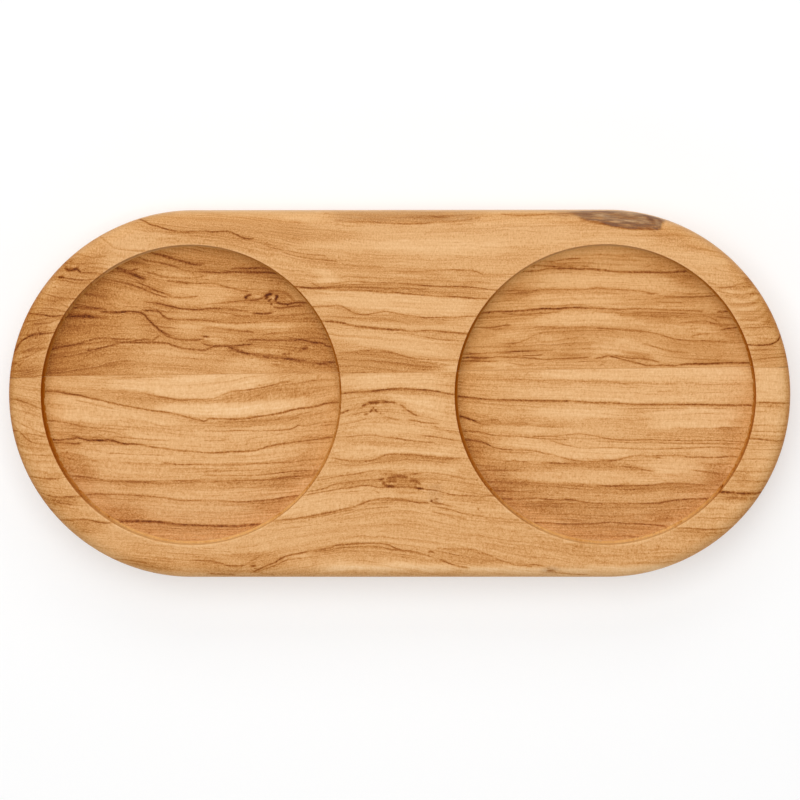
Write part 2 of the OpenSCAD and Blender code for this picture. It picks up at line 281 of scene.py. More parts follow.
TOP_FRONT = """
.50 .22 -.10 | 9,399 18,400 26,402.5 34,406 41,408.5
.35 .18 0 | 20,423 25,426 32,429 40,432
.70 .22 0 | 13,431 20,431
.40 .20 0 | 20,432 24,436 28,440 34,443 43,444
.35 .18 0 | 22,434 30,434 46,437
.35 .18 0 | 25,455 35,455 46,455.5
.40 .20 0 | 30,477 40,478 50,479 60,478 66,477
.55 .22 0 | 40,493 50,496 60,497.5 68,497 81,496.5
.25 .20 0 | 55,505 65,507 78,510
.65 .22 0 | 61,520.5 70,520 78,519.5 88,519.5 96,521.5 104,523 113,522.5
.40 .20 0 | 120,560 130,560.5 140,562 150,564
.50 .22 0 | 190,559.5 200,560.5 210,561 220,563 228,565.5 238,566 246,565
.60 .22 0 | 205,574 220,574.5 237,575
.40 .20 0 | 250,570 258,573 275,575
.80 .36 0 | 249,566.7 253,566 257,565.3
.35 .18 0 | 250,562 255,559 260,556
.60 .22 0 | 267,565.5 275,562.5 280,559@.85 285,556.5@.6 290,555 300,553 310,551 320,549.5 330,548 335,545.5 345,544.5 360,543.5 372,543 383,543.5 390,545.5 395,548 402,550 410,551 418,552.5 426,555 433,557.5
.40 .18 0 | 269,567.5 278,564 286,560.5 295,559 310,557.5 322,556
.45 .18 0 | 310,551.5 325,550.5 340,548 352,547 370,546.5 380,547 388,549 395,550 412,552 425,555.5
.80 .26 0 | 427,552.5 431,551 435,553.5
.35 .18 0 | 434,551 438,548.5 442,548
.80 .27 0 | 437,558.7 444,561 450,563.5 456,565.5 462,567 471,568
.30 .18 0 | 440,549 455,548.5 470,549.5 480,551.5 488,554.5 495,558 505,561.5 515,565@.4 525,565.5 532,564.5 540,565.5 547,568
.50 .22 0 | 526,566.5 533,567
.70 .32 0 | 545,570.5 551,571 558,571
.50 .20 0 | 550,571.5 560,573 572,574.5 590,575
.65 .25 0 | 261,523 272,521.5 282,520 292,519 302,517.5 312,515.5 322,514 332,512 342,509.5 352,507.5 360,504.5 368,501.5 376,499.5 388,498.5 400,499.5 405,500 413,501.5 420,502.5 430,503
.40 .18 0 | 300,519 315,517 330,514.5 345,511 355,509.5
.45 .18 0 | 372,500.5 385,500 400,500.5 410,502.5
.35 .18 0 | 330,517 345,514 355,511 365,509 380,507.5 390,507
.50 .20 0 | 309,491.5 318,490 326,488 332,485 340,483 350,482 360,480.8 370,480 378,479.4 386,478.5
.60 .20 0 | 306,495 315,493 325,491.5 335,489.5 345,488 355,487 365,485.5 372,486 378,487.5 390,487 398,487 405,487 412,487.5 418,488.5 425,489@.65 436,490.5 444,492.5 452,494.5 462,495.5 472,496 482,496.5 490,495.5 495,496
.40 .18 0 | 370,489 376,491.5 381,494
.25 .18 0 | 320,495 340,492.5 360,491
.35 .18 0 | 470,491 478,494
.25 .18 0 | 395,493 420,493
.45 .18 0 | 438,503 446,505 454,506.5
.45 .20 0 | 430,506 445,508.5 455,511 463,513.5 472,515.5 480,516@.6 484,517@.3 490,518 505,519 520,520
.60 .26 0 | 476.5,509 480,508.7
.40 .18 0 | 431,511.5 440,513.5 450,515.5 460,517.5 468,519
.35 .18 0 | 485,520.5 495,521.5 510,522.5 520,523
.40 .18 0 | 320,480 340,476 355,474 370,471 380,470.5 395,471.5
.40 .18 0 | 412,474 420,473 430,472.5 438,473.5 448,475 458,477.5 465,480
.75 .24 -.10 | 340,393.5 352,392.5 365,391.5 375,391 385,389.5 395,388.5 405,388.5 415,389.5 425,390 435,391 442,392.5 450,394 456,394.5
.70 .24 0 | 399,404.2 402,405.8 405,408.2 408,410.6 411,412.6 415,414.8 420,417
.80 .28 0 | 339,414.3 344,412.5 350,409.3
.35 .18 0 | 342,424.5 352,422.5 362,420 368,418
.30 .18 0 | 380,414 390,418 400,420
.60 .20 0 | 407,419.5 416,421 422,422.5 430,423 441,424
.35 .18 0 | 430,424.5 436,427 442,429
.30 .18 0 | 445,430 455,433
.40 .18 0 | 340,437 350,436.5 360,435.5 372,435 385,437 398,438.5@.55 405,440 415,441 425,442 436,443
.45 .18 0 | 420,436 428,436 436,437 445,438.5 456,440.5
.40 .20 0 | 329,457.5 338,459 348,460.5 358,461 370,460.5 378,458 385,455 395,454@.55 405,454.5 415,454.5 425,456 434,456.5 438,457.5@.45 450,458.5 460,458 468,458.5
.60 .22 -.10 | 756,402.5 768,402.5 778,403 789.5,403.5
.60 .22 0 | 750,438.5 758,439 766,440 775,441 784,441
.35 .18 0 | 752,443 770,443 782,443
.35 .18 0 | 748,449 760,449.5 775,449.5
.30 .18 0 | 745,459.5 760,459 775,460.5
.35 .18 0 | 752,425.5 765,425 780,425.5
.35 .18 0 | 752,431 766,431.6 782,432
.30 .18 0 | 752,435 768,436 784,436.4
.30 .18 0 | 730,471 745,471.5 755,471.5
.30 .18 0 | 722,476 735,475.5 742,476.5
.30 .18 0 | 725,480 740,480.5 752,481
1.2 .34 0 | 712,492.8 720,492.2 728,492.4 736,493@.8 746,493.6 755,493.6@.6 763,492.8
.55 .30 0 | 717,491.4 723,491 729,491.4
.45 .18 0 | 720,496.8 735,497.4 748,498
.35 .18 0 | 725,499 740,499 752,499.5
.50 .20 0 | 671,527.5 682,528 692,528.5 702,529 715,529.5 728,528.5
.30 .18 0 | 675,531 690,532 715,533
"""

# Lighter and darker bands of each face: lightness change, kind of edge, then x, upper y, lower y along the band.
# Most are the wood's own bands. Some are painted light and shade: a painted highlight along the front edge (top_front),
# and painted shade under the back rims and along the front walls of the wells.
# Edges: T sharp above, B sharp below, H both sharp, S both soft.
BANDS = {
    "top_back": """
-.10 B | 312,212,219 345,211,222 400,211,224.5 420,211,224.5 445,211,222.5 480,211,219 500,211,216
-.05 S | 340,213,221 400,213,223 430,213,222 460,213,219
-.07 S | 422,214,220 436,213,220 452,214,219
.05 S | 340,223,233 400,225,250 500,222,250 560,220,250 590,228,246
-.05 S | 295,230,242 330,231,240 385,232,238
.08 S | 296,242,250 360,241,249 420,241,256 485,241,257 520,240,254
-.07 S | 275,247,256 300,251,262 340,255,265 400,258,266
.12 S | 310,268,276 320,267,285 330,270,284 345,274,279
-.07 T | 296,257,264 340,263,276 380,267,283 420,268.5,284 450,268.5,285 480,272,286 505,274,287
.12 S | 434,272,276 450,273,276 468,274,277
-.11 H | 297,284,288.5 350,283,290 400,283,294 440,284,296 480,285,299 493,288,299
.10 T | 302,289.5,305 340,290.5,304 380,293,310 420,296,315 460,299,315 484,300,310
-.09 T | 322,307,319 345,308,319 370,314,320 400,315,323 440,318,323 474,317,320
.05 S | 330,318,321 400,324,328 464,321,331
.06 T | 328,329,343 380,331,348 420,339,354 458,342,357
-.08 B | 415,332,335 440,332,339 466,334,341
-.17 T | 296,352,388 330,354,388 350,352,388 370,350,388 384,351,388 404,356,386 424,360.5,380 442,365,372 462,368,370
-.10 S | 306,340,354 338,342,354 366,345,353 392,349,354
.12 T | 416,369,380 440,366.5,380 474,365,380
-.10 S | 112,220,228 150,214,230 200,214,234 250,216,240 300,222,244 322,228,240
-.10 S | 150,232,242 190,231,244 235,233,250 275,242,258 300,250,258
.04 S | 95,240,248 130,236,250 160,238,248
-.18 S | 36,270,304 62,260,302 92,256,292 116,260,276
-.10 S | 78,244,260 116,242,256
-.15 S | 18,298,324 44,296,322 76,298,318
-.17 S | 12,322,354 34,320,352 58,322,342
-.14 S | 4,350,390 24,348,390 56,344,390
-.06 S | 2,364,390 16,362,390 40,364,390
-.09 S | -20,363,392 8,363,392 30,364,392 60,366,392
.05 S | 570,232,246 630,238,248 690,248,262 735,258,270
-.06 S | 630,230,240 680,234,248 715,244,258 740,258,270
-.12 S | 744,338,350 765,338,352 786,336,350
-.07 S | 735,300,338 760,306,340 792,312,336
-.05 S | 738,346,366 790,346,366
-.07 S | 724,264,286 742,273,300 764,288,308
-.05 S | 490,212,219 540,212,220 600,214,222
-.08 S | 640,228,236 668,226,240 702,232,246
-.06 S | 745,356,385 796,356,385
""",
    "left_back": """
-.17 S | 20,246,390 120,246,390 230,246,390 360,246,390
-.05 S | 50,312,350 78,292,330 96,286,314 118,290,302
-.12 S | 44,322,334 72,322,335 112,324,333
-.06 S | 30,345,390 60,340,390 90,350,390 140,358,390
-.06 S | 10,360,392 46,360,392 70,361,392 110,366,392
.05 S | 98,298,302 112,294,304 130,291,308 150,296,309 165,303,308
.16 S | 146,289,292 165,288,300 185,286,304 205,285,303 225,287,301 248,290,298
.14 S | 200,301,308 216,301,307
.08 S | 114,318,334 135,317,336 150,322,330
.12 S | 158,311,316 170,310,319 200,312,319 232,313,318
.20 S | 158,323,327 185,322,331 215,323,328.5 250,323,329 305,324,328
.10 S | 165,329,333 190,331,337 225,330,338 250,333,338
.18 H | 193,339.5,342.5 208,337,342 232,341,344
.09 S | 120,346,356 150,344,390 190,349,390 232,352,390
.04 S | 140,350,357 175,348,357 216,352,357
.16 T | 205,363,390 230,359,390 255,359,390 290,364,390
.18 S | 240,348,350.5 262,348.5,352 294,347,352
.06 S | 262,323,338 300,322,338 325,326,338
-.04 S | 105,264,280 130,266,282 152,272,280
-.09 S | 78,284,306 98,281,304 120,284,299
.12 S | 150,266,281 180,271,281 205,275,281
.10 S | 180,277,283 215,276,287 250,277,291 290,284,293
.10 S | 268,287,298 295,286,302 325,292,304
-.08 S | 236,263,276 262,262,278 284,270,284
-.10 S | 280,330,346 310,330,346 336,334,350
""",
    "left_front": """
.15 B | 98,380,388 125,380,390 150,380,392 170,376,397 200,374,398 220,374,397 228,374,391 242,372,389 262,372,384 286,372,379
.06 S | 70,378,388 105,378,388 140,378,386
-.11 T | 98,390,398 140,393,404 170,398,405 200,399,404 225,398,404 235,392,404 260,388,403 300,381,404 338,381,401
.09 T | 40,393,402 60,395,418 100,402,421 130,408,421 160,413,426 196,418,427
.20 B | 140,405,409 180,404,414 205,404,418 230,404,418 255,402,416 290,399,410 330,397,403
-.06 T | 198,421,424 225,420,428 255,419,429 285,416,426 312,411,422
-.06 S | 276,420,440 305,414,442 326,410,442 344,408,440
-.08 S | 72,462,482 90,464,484 108,466,482
-.10 S | 262,478,490 285,476,490 306,470,486
.04 S | 110,431,434 150,431,438 200,432,439 250,432,437 294,431,434
.05 B | 130,441,445 170,441,450 210,440,451 240,441,449
-.03 S | 225,443,449 270,441,448 305,437,449 336,434,448
-.12 S | 46,421,448 80,425,446 120,433,444 142,439,444
-.05 S | 78,382,394 104,383,395 134,384,394
.06 S | 10,362,388 46,362,388 70,362,387 104,364,385
.06 S | 88,449,458 150,452,461 210,454,462 270,451,460 302,446,452
-.15 S | 48,450,470 70,452,480 100,460,478
-.08 S | 255,466,476 285,460,479 310,450,478 332,438,460
-.11 T | 96,480,487 150,481,489 200,481,489 250,481,488 302,477,488
.04 S | 108,489,493 200,489,498 252,489,498
-.13 T | 236,503,508 260,501,512 285,497,512 304,495,501
-.08 T | 86,496,510 130,497,504 172,500,505
-.18 S | 90,506,518 120,505,520 160,507,520
-.06 T | 100,526,536 150,526,545 200,528,546 240,528,540 275,527,530
""",
    "right_back": """
-.04 S | 440,246,385 560,246,385 660,246,385 780,246,385
.09 S | 530,274,286 580,272,286 620,274,287 660,275,290 694,279,292
-.18 S | 484,287,302 505,286,300 528,286,298 550,287,296
-.09 T | 522,288,293 560,288,295 600,287,293 645,290,295
.08 S | 520,296,305 560,294,304 600,293,305 632,294,306
-.11 T | 632,294,303 660,294,303.5 700,295,303.5 720,295,301
.04 S | 638,304,308 706,304,308
-.06 S | 470,309,318 510,309,316 545,308,313 575,307,311
.12 T | 520,317,324 550,314,324 580,311,325 600,312,323 620,316,323 668,321,326
-.11 S | 602,310,320 640,311,322 680,311,322 710,312,324 738,314,326
-.15 S | 474,323,332 500,324,331 526,325,329
-.07 T | 518,326,331 560,326,333 600,326,337 640,331,339 664,336,341
.08 S | 490,331,339 510,330,339 526,331,337
-.08 S | 545,331,343 580,331,347 602,333,343
-.10 S | 500,340,346 522,340,346
.08 S | 582,350,356 600,342,354 620,340,353 640,345,352 660,350,358 680,353,360
-.12 S | 488,348,354 530,348,354 556,349,353
-.20 B | 461,350,361.5 475,353,361.5 496,356,361.5
-.13 S | 540,351,360 570,352,360 596,352,358.5
-.12 S | 620,354,359.5 658,353,360
-.09 S | 648,339,350 700,340,362 744,340,362
-.06 B | 682,360,366 720,357,365 753,355,365
.14 B | 466,362,367 500,362,367 540,365,367
.05 S | 690,323,331 720,322,330
-.13 S | 532,263,271 560,260,270 604,258,268
-.12 S | 630,262,270 660,258,276 690,264,286 716,276,294
-.08 S | 702,292,330 728,298,338 752,308,346
""",
    "right_front": """
.12 S | 525,350,380 600,350,380 700,350,382 765,350,382
.07 B | 500,383,398 600,383,401 700,385,403 750,386,404
.11 S | 520,407,414 560,404,419 600,405,419 640,408,415
.12 B | 635,418,428 680,408,428 720,408,427.5 752,408,426
-.10 S | 458,417,433 500,418,425 540,418,426 578,420,434
-.06 T | 632,431,437 680,430,438 720,428,438 750,427,438
.07 S | 498,425,433 560,426,433 630,428,436
.09 B | 488,439,446 530,440,449 560,447,457 600,449,460 648,450,455
-.12 S | 450,434,452 475,438,456 500,446,453
-.15 T | 473,461,472 500,462,471 530,463,470 580,461.5,468 610,462,470 640,465,473 660,470,474
.09 S | 636,459,468 670,459,474 706,459,467
-.17 S | 696,461,480 720,462,483 738,456,476
.06 S | 516,474,481 580,474,483 640,475,482 696,477,482
-.15 T | 480,478,490 510,479,490 540,482,491 600,484.5,492 660,483.5,491 718,481,493
-.07 S | 498,490,498 600,491,502 706,489,498
-.15 T | 500,500,511 540,501,513 584,503,516
-.12 T | 556,502,514 620,504,515 650,504,514
-.14 T | 630,504,518 680,500,519 722,498,508
-.11 S | 540,518,536 610,515,540 690,516,536
-.06 S | 518,503,513 550,504,514 586,505,514
-.07 S | 712,430,462 735,420,462 754,408,450
-.07 S | 450,424,480 475,428,488 512,442,502
-.08 S | 480,466,492 500,470,502 530,484,510
-.08 S | 690,478,498 712,480,500 730,476,494
""",
    "top_front": """
.10 B | 340,355,391 400,355,387.5 456,355,392
-.07 S | 344,402,414 362,400,416 376,402,414
-.07 S | 230,554,566 270,552,568 310,556,566
-.06 S | 446,468,502 474,470,504 505,480,502
-.05 S | -20,377,393 10,377,393 30,377,392 64,378,390
.10 S | 745,350,400 800,350,400
.06 S | 748,406,428 794,406,430
.05 S | 746,448,470 790,446,470
-.10 T | 342,393,397 400,388.5,394 454,393,398
.14 S | 342,397,408 356,396,408 364,396,400 400,395,400 416,396,411 440,397,418 456,397,424
-.05 S | 362,405,421 380,404,422 402,408,421
.10 S | 342,425,433 400,423,433 444,427,434
-.09 T | 330,436,444 380,437,445 420,440,447 466,443,447
.11 S | 330,446,456 370,446,453 420,447,453 464,445,457
-.13 T | 327,458,467 370,460,466 390,454,463 440,456,465 470,459,463
.08 S | 322,467,474 400,464,470 474,464,478
-.09 T | 318,479,488 345,474,487 370,471,486 400,472,486 440,475,482 462,480,484
-.12 S | 376,474,489 400,476,489 430,478,491
.05 S | 262,505,520 300,497,515 330,494,510 372,491,498
-.07 T | 335,508,513 360,503,508 400,499,505 445,503,507
-.09 T | 300,553,560 320,548,557 350,543.5,556 400,548,556 440,557,562
-.12 T | 424,551,558 445,549,563 470,549,567 492,556,567 514,562,567
-.10 S | 260,572,577 350,572,577 500,572,577
.24 S | 306,565,572 348,563,571 400,563,571 470,565,572 560,567,572 690,566,572
-.05 S | 416,553,564 436,552,564 456,554,564
.05 S | 150,540,556 240,540,554 330,524,542
-.05 S | 460,545,568 560,545,568 690,532,560
-.08 S | 12,398,414 30,402,416 44,408,418
-.06 S | 22,466,498 56,480,522 100,502,534
-.05 S | 110,540,572 200,548,578 300,556,578
-.07 S | 8,430,446 30,434,452 52,442,458
-.10 S | 30,474,482 60,474,482 72,470,480
-.14 T | 38,493,504 60,497,506 84,497,504
-.16 T | 58,520,532 90,520,534 116,522,530
-.10 S | 110,552,566 150,558,570 190,560,574
-.08 T | 180,559,568 230,564,574 262,562,576
-.06 T | 756,402,410 789,403,410
-.10 T | 728,470,482 756,468,482
-.14 T | 714,492,504 740,494,504 764,490,500
-.08 T | 668,528,538 700,529,540 734,527,536
""",
}
# Knots and the marks inside the stain, drawn like the veins but close and soft; below zero is lighter.
INKS = {
    "left_back": """
.80 .26 0 | 243.5,297.8 245.5,296.6 248,295.6 250,295 252.5,294.7
.60 .34 0 | 243.5,297.2 245.5,297.8 248,298.6
.62 .22 0 | 246,300 252,300.1 257,299.7 261,298.5 264.5,296.6
1.1 .30 0 | 263.5,297.2 266,295.6 268.5,294.6 271,294.2 273.6,293.9
1.1 .32 0 | 274.3,295.2 276,295.6 277.3,296.6 276.2,298.3 275.6,300 276,301.8
.80 .22 0 | 275.6,300.5 276.3,302.2 278.5,303.2 282,303.9 287,304.2 292,303.4 297,302.4 303,302.9 309,303.2
.75 .16 0 | 264,299.8 266.3,297.8 268.4,296.2
.60 .15 0 | 266,300 267.6,298.2 269.4,296.6
.90 .17 0 | 267.2,302.2 269.8,300 272.6,298.6
.95 .22 0 | 270.4,305 271.4,304 272.4,303.4
.60 .20 0 | 272.5,306.4 276,307.6 282,307.9 287.5,307.2 295,306.3 305,305.6
.45 .18 0 | 287.6,303.8 287.6,305.2 287.2,306.8
.34 .42 0 | 267,291.8 274,291 281,291.8 286,293.4 290,296.4 292.5,299.2 296,301.6
.30 .50 0 | 279,297 283,298.4 288,299
-.22 .40 0 | 270.5,296.6 273,297.4 273,299.4
-.20 .40 0 | 254,296.4 258,295.8 262,294.6
.75 .20 0 | 251,312.6 256,313.2 262,313.8 268,313.5 274,312.3
""",
    "top_front": """
.50 .34 0 | 385,478.4 390,477.5 395,476.8 400,476.6 405,477 409,477.4
.50 .26 0 | 377,479.4 381,479.6 385,479
.30 .24 0 | 381,473.4 388,473.8 398,475 408,474.8 420,473.4
.72 .32 0 | 382.6,485.4 383.2,484 384.2,483 385.6,482.6
.62 .30 0 | 383.6,485.4 387,485.9 391,486 396,486.5
.48 .22 0 | 414.6,485.2 415.4,483.4 417.6,482.9 420,483.6 420.6,485.2
.75 .26 0 | 413.5,486.6 417,488 420.6,488.6 424.6,488.4
.35 .50 0 | 386,481 392,480.6 398,481.4
.40 .40 0 | 409,481 413,480.4 419,480.8
-.25 .30 0 | 389,483.6 393,483.9 397,483.6
-.22 .26 0 | 416.5,485.6 418.5,486
.95 .28 0 | 430.6,502.2 431.6,501 432.8,500.2
.45 .16 0 | 432.6,500.2 436,499.2 439.4,498.6
.40 .15 0 | 433,501 436,501.2 439,501.4
.60 .17 0 | 431.4,502.2 436,503.2 444,504.2
.78 .24 0 | 361.5,406.6 364,405.2 367,403.7
.80 .24 0 | 366,403.8 370,403.2 376,403 381,402.8
.60 .17 0 | 366,402 372,401.7 378,400.9 384,400.9 390,401.8
.65 .18 0 | 380,402.9 386,402.4 392,402.4 398,403.8
.70 .16 0 | 373.6,406.4 373.6,408 373.2,409.4
.75 .22 0 | 373.4,409.2 371,410.8 369.4,413.2
.55 .24 0 | 369,413.4 366,414 363.6,414.7
.65 .20 0 | 374,409.2 376.2,410.8 377.6,412.8
.55 .20 0 | 379,413.2 381.8,413.6
-.25 .30 0 | 376,405.4 380,405 384,405.2
""",
    "top_back": """
.19 .46 0 | 716,287 730,288 740,289 748,287.6 753,284 756,279
.15 .42 0 | 722,295.6 735,296.8 747,296.6 754,293.4 758.6,288
.19 .46 0 | 728,304.4 742,305.6 752,304.4 758,300.6 762,295
.14 .42 0 | 735,312 748,312.6 757,311 763,306.6 766.4,301
.21 .46 0 | 738,318.6 752,319.2 761,317 767,311.4 770,306
.13 .46 0 | 742,326 756,326.4 765,323.6 770,317 773,311
.16 .80 0 | 743,277 747,281 750,286
.16 .80 0 | 766,316 769,322 771,330
.14 .70 0 | 727,262 733,267 737,273
-.16 .40 0 | 724,291.4 738,292.8 748,291.8 754,288.6
-.16 .40 0 | 730,300.4 745,301.2 754,298.8 759,294.6
-.16 .40 0 | 738,308.8 750,308.8 758,306
-.14 .40 0 | 742,322.6 756,322.8 764,320
1.0 .24 0 | 65,266.2 65.6,268.4 67.4,269.8 70.4,270.1 74,269.6 77,268.2 79.2,265.8
.75 .20 0 | 77,268.6 79,271 80.8,272.6
.95 .26 0 | 58,276.4 60.4,276.8 64,277.2
.30 .18 0 | 70,262.4 71.6,260.4 73,259
.25 .30 0 | 576,217.0 586,219.6@.7 595,221.6 604,223.6 612,225.5 621,227.1 630,228.2 642,228.8 654,228.7 663,227.6
.65 .30 0 | 600,220.6 607,222.4 614,223.6 621,224.2
.55 .22 0 | 617,219.2 624,217.6 632,218 640,216.8
.60 .26 0 | 619,223.8 628,223 637,224 647,224.6 657,224.4
.70 .32 0 | 640,213 645,215 649.5,217.6 653,220.6 656,223.6
.55 .30 0 | 646,217.6 650,220 654,222.6
.50 .26 0 | 590,212.4 600,211.8 612,211.2
.60 .26 0 | 636,212.4 646,214.2 655,217.4 661,221.4 664,225.4
.25 .24 0 | 556,213.4 566,213.8 576,214@.55 586,214.4 594,214.8
.40 .20 0 | 586,218 596,217.4 606,218.6
.45 .22 0 | 628,226.2 640,226.4 652,226.4
.40 .20 0 | 606,213.6 614,214.4 622,215.8
-.40 .26 0 | 595,215 603,215.6 612,216.8
-.35 .22 0 | 612,221.2 624,220.8 638,221.4
-.30 .26 0 | 626,214 632,214.4 638,215
-.30 .20 0 | 638,222.8 646,223 652,222.6
-.25 .20 0 | 590,219.8 598,220.4
""",
}
# Grey-brown stain in the back edge and fainter ones, drawn like the bands.
STAINS = """
.35 S | 540,207,215 572,207,218 600,207,221
.95 B | 562,203,211 576,203,215.5 588,203,220 604,203,223.8 620,203,226.8 634,203,228.6 650,203,229 660,203,228 664,203,222 668,203,214 690,202,206
.24 S | 320,212,221 400,212,221 490,212,221
.40 S | 536,568,573 550,568,573 564,568,573
.15 S | 424,484,504 435,484,504 446,484,504
.15 S | 515,325,331 555,325,331 595,325,331
"""


class Line:
    """One drawn vein: a smooth path in mm with darkness along it."""

    def __init__(self, text, z, carry_on=True):
        head, body = text.split("|")
        amp, self.w, self.soft = (float(t) for t in head.split())
        pts, amps = [], []
        for token in body.split():
            if "@" in token:
                token, a = token.split("@")
                amp = float(a)
            x, y = token.split(",")
            pts.append((float(x), float(y)))
            amps.append(amp)
        pts = np.array(pts)
        px, py = on_plane(pts[:, 0], pts[:, 1], z)
        p = np.column_stack([px, py])
        amps = np.array(amps)
        q = np.vstack([2 * p[0] - p[1], p, 2 * p[-1] - p[-2]])
        out, oa = [], []
        for i in range(1, len(q) - 2):
            n = max(2, int(np.linalg.norm(q[i + 1] - q[i]) / 0.6) + 1)
            for t in np.linspace(0, 1, n, endpoint=False):
                out.append(0.5 * (2 * q[i] + (q[i + 1] - q[i - 1]) * t
                                  + (2 * q[i - 1] - 5 * q[i] + 4 * q[i + 1] - q[i + 2]) * t * t
                                  + (3 * q[i] - q[i - 1] - 3 * q[i + 1] + q[i + 2]) * t ** 3))
                oa.append(amps[i - 1] * (1 - t) + amps[i] * t)
        out.append(p[-1])
        oa.append(amps[-1])
        self.p, self.a = np.array(out), np.array(oa)
        seg = np.linalg.norm(np.diff(self.p, axis=0), axis=1)
        self.s = np.concatenate([[0], np.cumsum(seg)])
        fade = min(0.9, 0.3 * self.s[-1])
        ends = np.minimum(self.s, self.s[-1] - self.s)
        self.a = self.a * np.clip(ends / fade, 0, 1) ** 0.8
        if carry_on:
            self.run_on(0, z)
            self.run_on(-1, z)

    def run_on(self, end, z):
        """A vein that stops just short of a wall or an edge is carried on past it."""
        p, k = self.p[end], min(6, len(self.p) - 1)
        way = p - self.p[k if end == 0 else -1 - k]
        way /= max(np.linalg.norm(way), 1e-9)
        far = p + 0.2 * way
        gaps = [(np.hypot(p[0] - cx, p[1]) - WELL_R, np.hypot(far[0] - cx, far[1]) - WELL_R) for cx in WELLS.values()]
        if z < TOP - 1:
            go = any(-3.4 < a < 0.5 and b > a + 0.04 for a, b in gaps)
        else:
            go = any(-0.5 < a < 2.4 and b < a - 0.04 for a, b in gaps)
            a, b = reach_out(*p), reach_out(*far)
            go = go or (a > OUT_R - 4.5 and b > a + 0.04)
        if not go or self.s[-1] < 1.5:
            return
        solid = self.a[len(self.a) // 2] if self.s[-1] < 5 else self.a[k if end == 0 else -1 - k]
        more = p + np.outer(np.linspace(0.4, 3.6, 9), way)
        if end == 0:
            self.a[:k] = np.maximum(self.a[:k], solid * 0.8)
            self.p = np.vstack([more[::-1], self.p])
            self.a = np.concatenate([np.full(9, solid * 0.8), self.a])
        else:
            self.a[-k:] = np.maximum(self.a[-k:], solid * 0.8)
            self.p = np.vstack([self.p, more])
            self.a = np.concatenate([self.a, np.full(9, solid * 0.8)])

    def near(self, x, y, reach):
        """Index, signed distance and darkness of the points within reach."""
        lo, hi = self.p.min(0) - reach, self.p.max(0) + reach
        idx = np.nonzero((x > lo[0]) & (x < hi[0]) & (y > lo[1]) & (y < hi[1]))[0]
        if not len(idx):
            return idx, None, None
        pt = np.column_stack([x[idx], y[idx]])
        a, b = self.p[:-1], self.p[1:]
        ab = b - a
        best = np.full(len(idx), 1e9)
        sign, dark = np.ones(len(idx)), np.zeros(len(idx))
        for k in range(len(a)):
            rel = pt - a[k]
            t = np.clip(rel @ ab[k] / max(ab[k] @ ab[k], 1e-12), 0, 1)
            off = rel - t[:, None] * ab[k]
            d = np.hypot(off[:, 0], off[:, 1])
            hit = d < best
            best[hit] = d[hit]
            side = ab[k][0] * rel[:, 1] - ab[k][1] * rel[:, 0]
            sign[hit] = np.where(side[hit] * (1 if ab[k][0] >= 0 else -1) >= 0, 1.0, -1.0)
            dark[hit] = (self.a[k] * (1 - t) + self.a[k + 1] * t)[hit]
        keep = best < reach
        return idx[keep], (best * sign)[keep], dark[keep]


def ramp(t):
    t = np.clip(t, 0, 1)
    return t * t * (3 - 2 * t)


class Band:
    """A strip of lighter or darker wood between two drawn edges."""
    EDGE = {"T": (0.18, 0.75), "B": (0.75, 0.18), "H": (0.18, 0.18), "S": (0.7, 0.7)}

    def __init__(self, text, z):
        head, body = text.split("|")
        d, kind = head.split()
        self.d, (self.st, self.sb) = float(d), self.EDGE[kind]
        p = np.array([[float(t) for t in token.split(",")] for token in body.split()])
        self.x, self.top = on_plane(p[:, 0], p[:, 1], z)
        _, self.low = on_plane(p[:, 0], p[:, 2], z)
        # the edges run smoothly through the drawn points
        fine = np.linspace(self.x[0], self.x[-1], 60)
        self.top, self.low = self.smooth(fine, self.top), self.smooth(fine, self.low)
        self.x = fine
        self.fade = min(7.0, 0.42 * (self.x[-1] - self.x[0]))
        a, b = 1.7 * self.x[0] + self.top[0], 0.9 * self.x[-1] + self.low[-1]
        self.top = self.top + 0.16 * np.sin(0.55 * fine + a) + 0.10 * np.sin(1.35 * fine + 2 * b)
        self.low = self.low + 0.16 * np.sin(0.60 * fine + b) + 0.10 * np.sin(1.25 * fine + 2 * a)

    def smooth(self, fine, y):
        slope = np.gradient(y, self.x) if len(y) > 2 else np.full(len(y), (y[-1] - y[0]) / (self.x[-1] - self.x[0]))
        k = np.clip(np.searchsorted(self.x, fine) - 1, 0, len(y) - 2)
        h = self.x[k + 1] - self.x[k]
        t = (fine - self.x[k]) / h
        return ((1 + 2 * t) * (1 - t) ** 2 * y[k] + t * (1 - t) ** 2 * h * slope[k]
                + t * t * (3 - 2 * t) * y[k + 1] + t * t * (t - 1) * h * slope[k + 1])

    def at(self, x, y):
        top, low = np.interp(x, self.x, self.top), np.interp(x, self.x, self.low)
        ends = ramp(np.minimum(x - self.x[0], self.x[-1] - x) / self.fade)
        return self.d * ends * ramp((top - y) / (2 * self.st) + 0.5) * ramp((y - low) / (2 * self.sb) + 0.5)


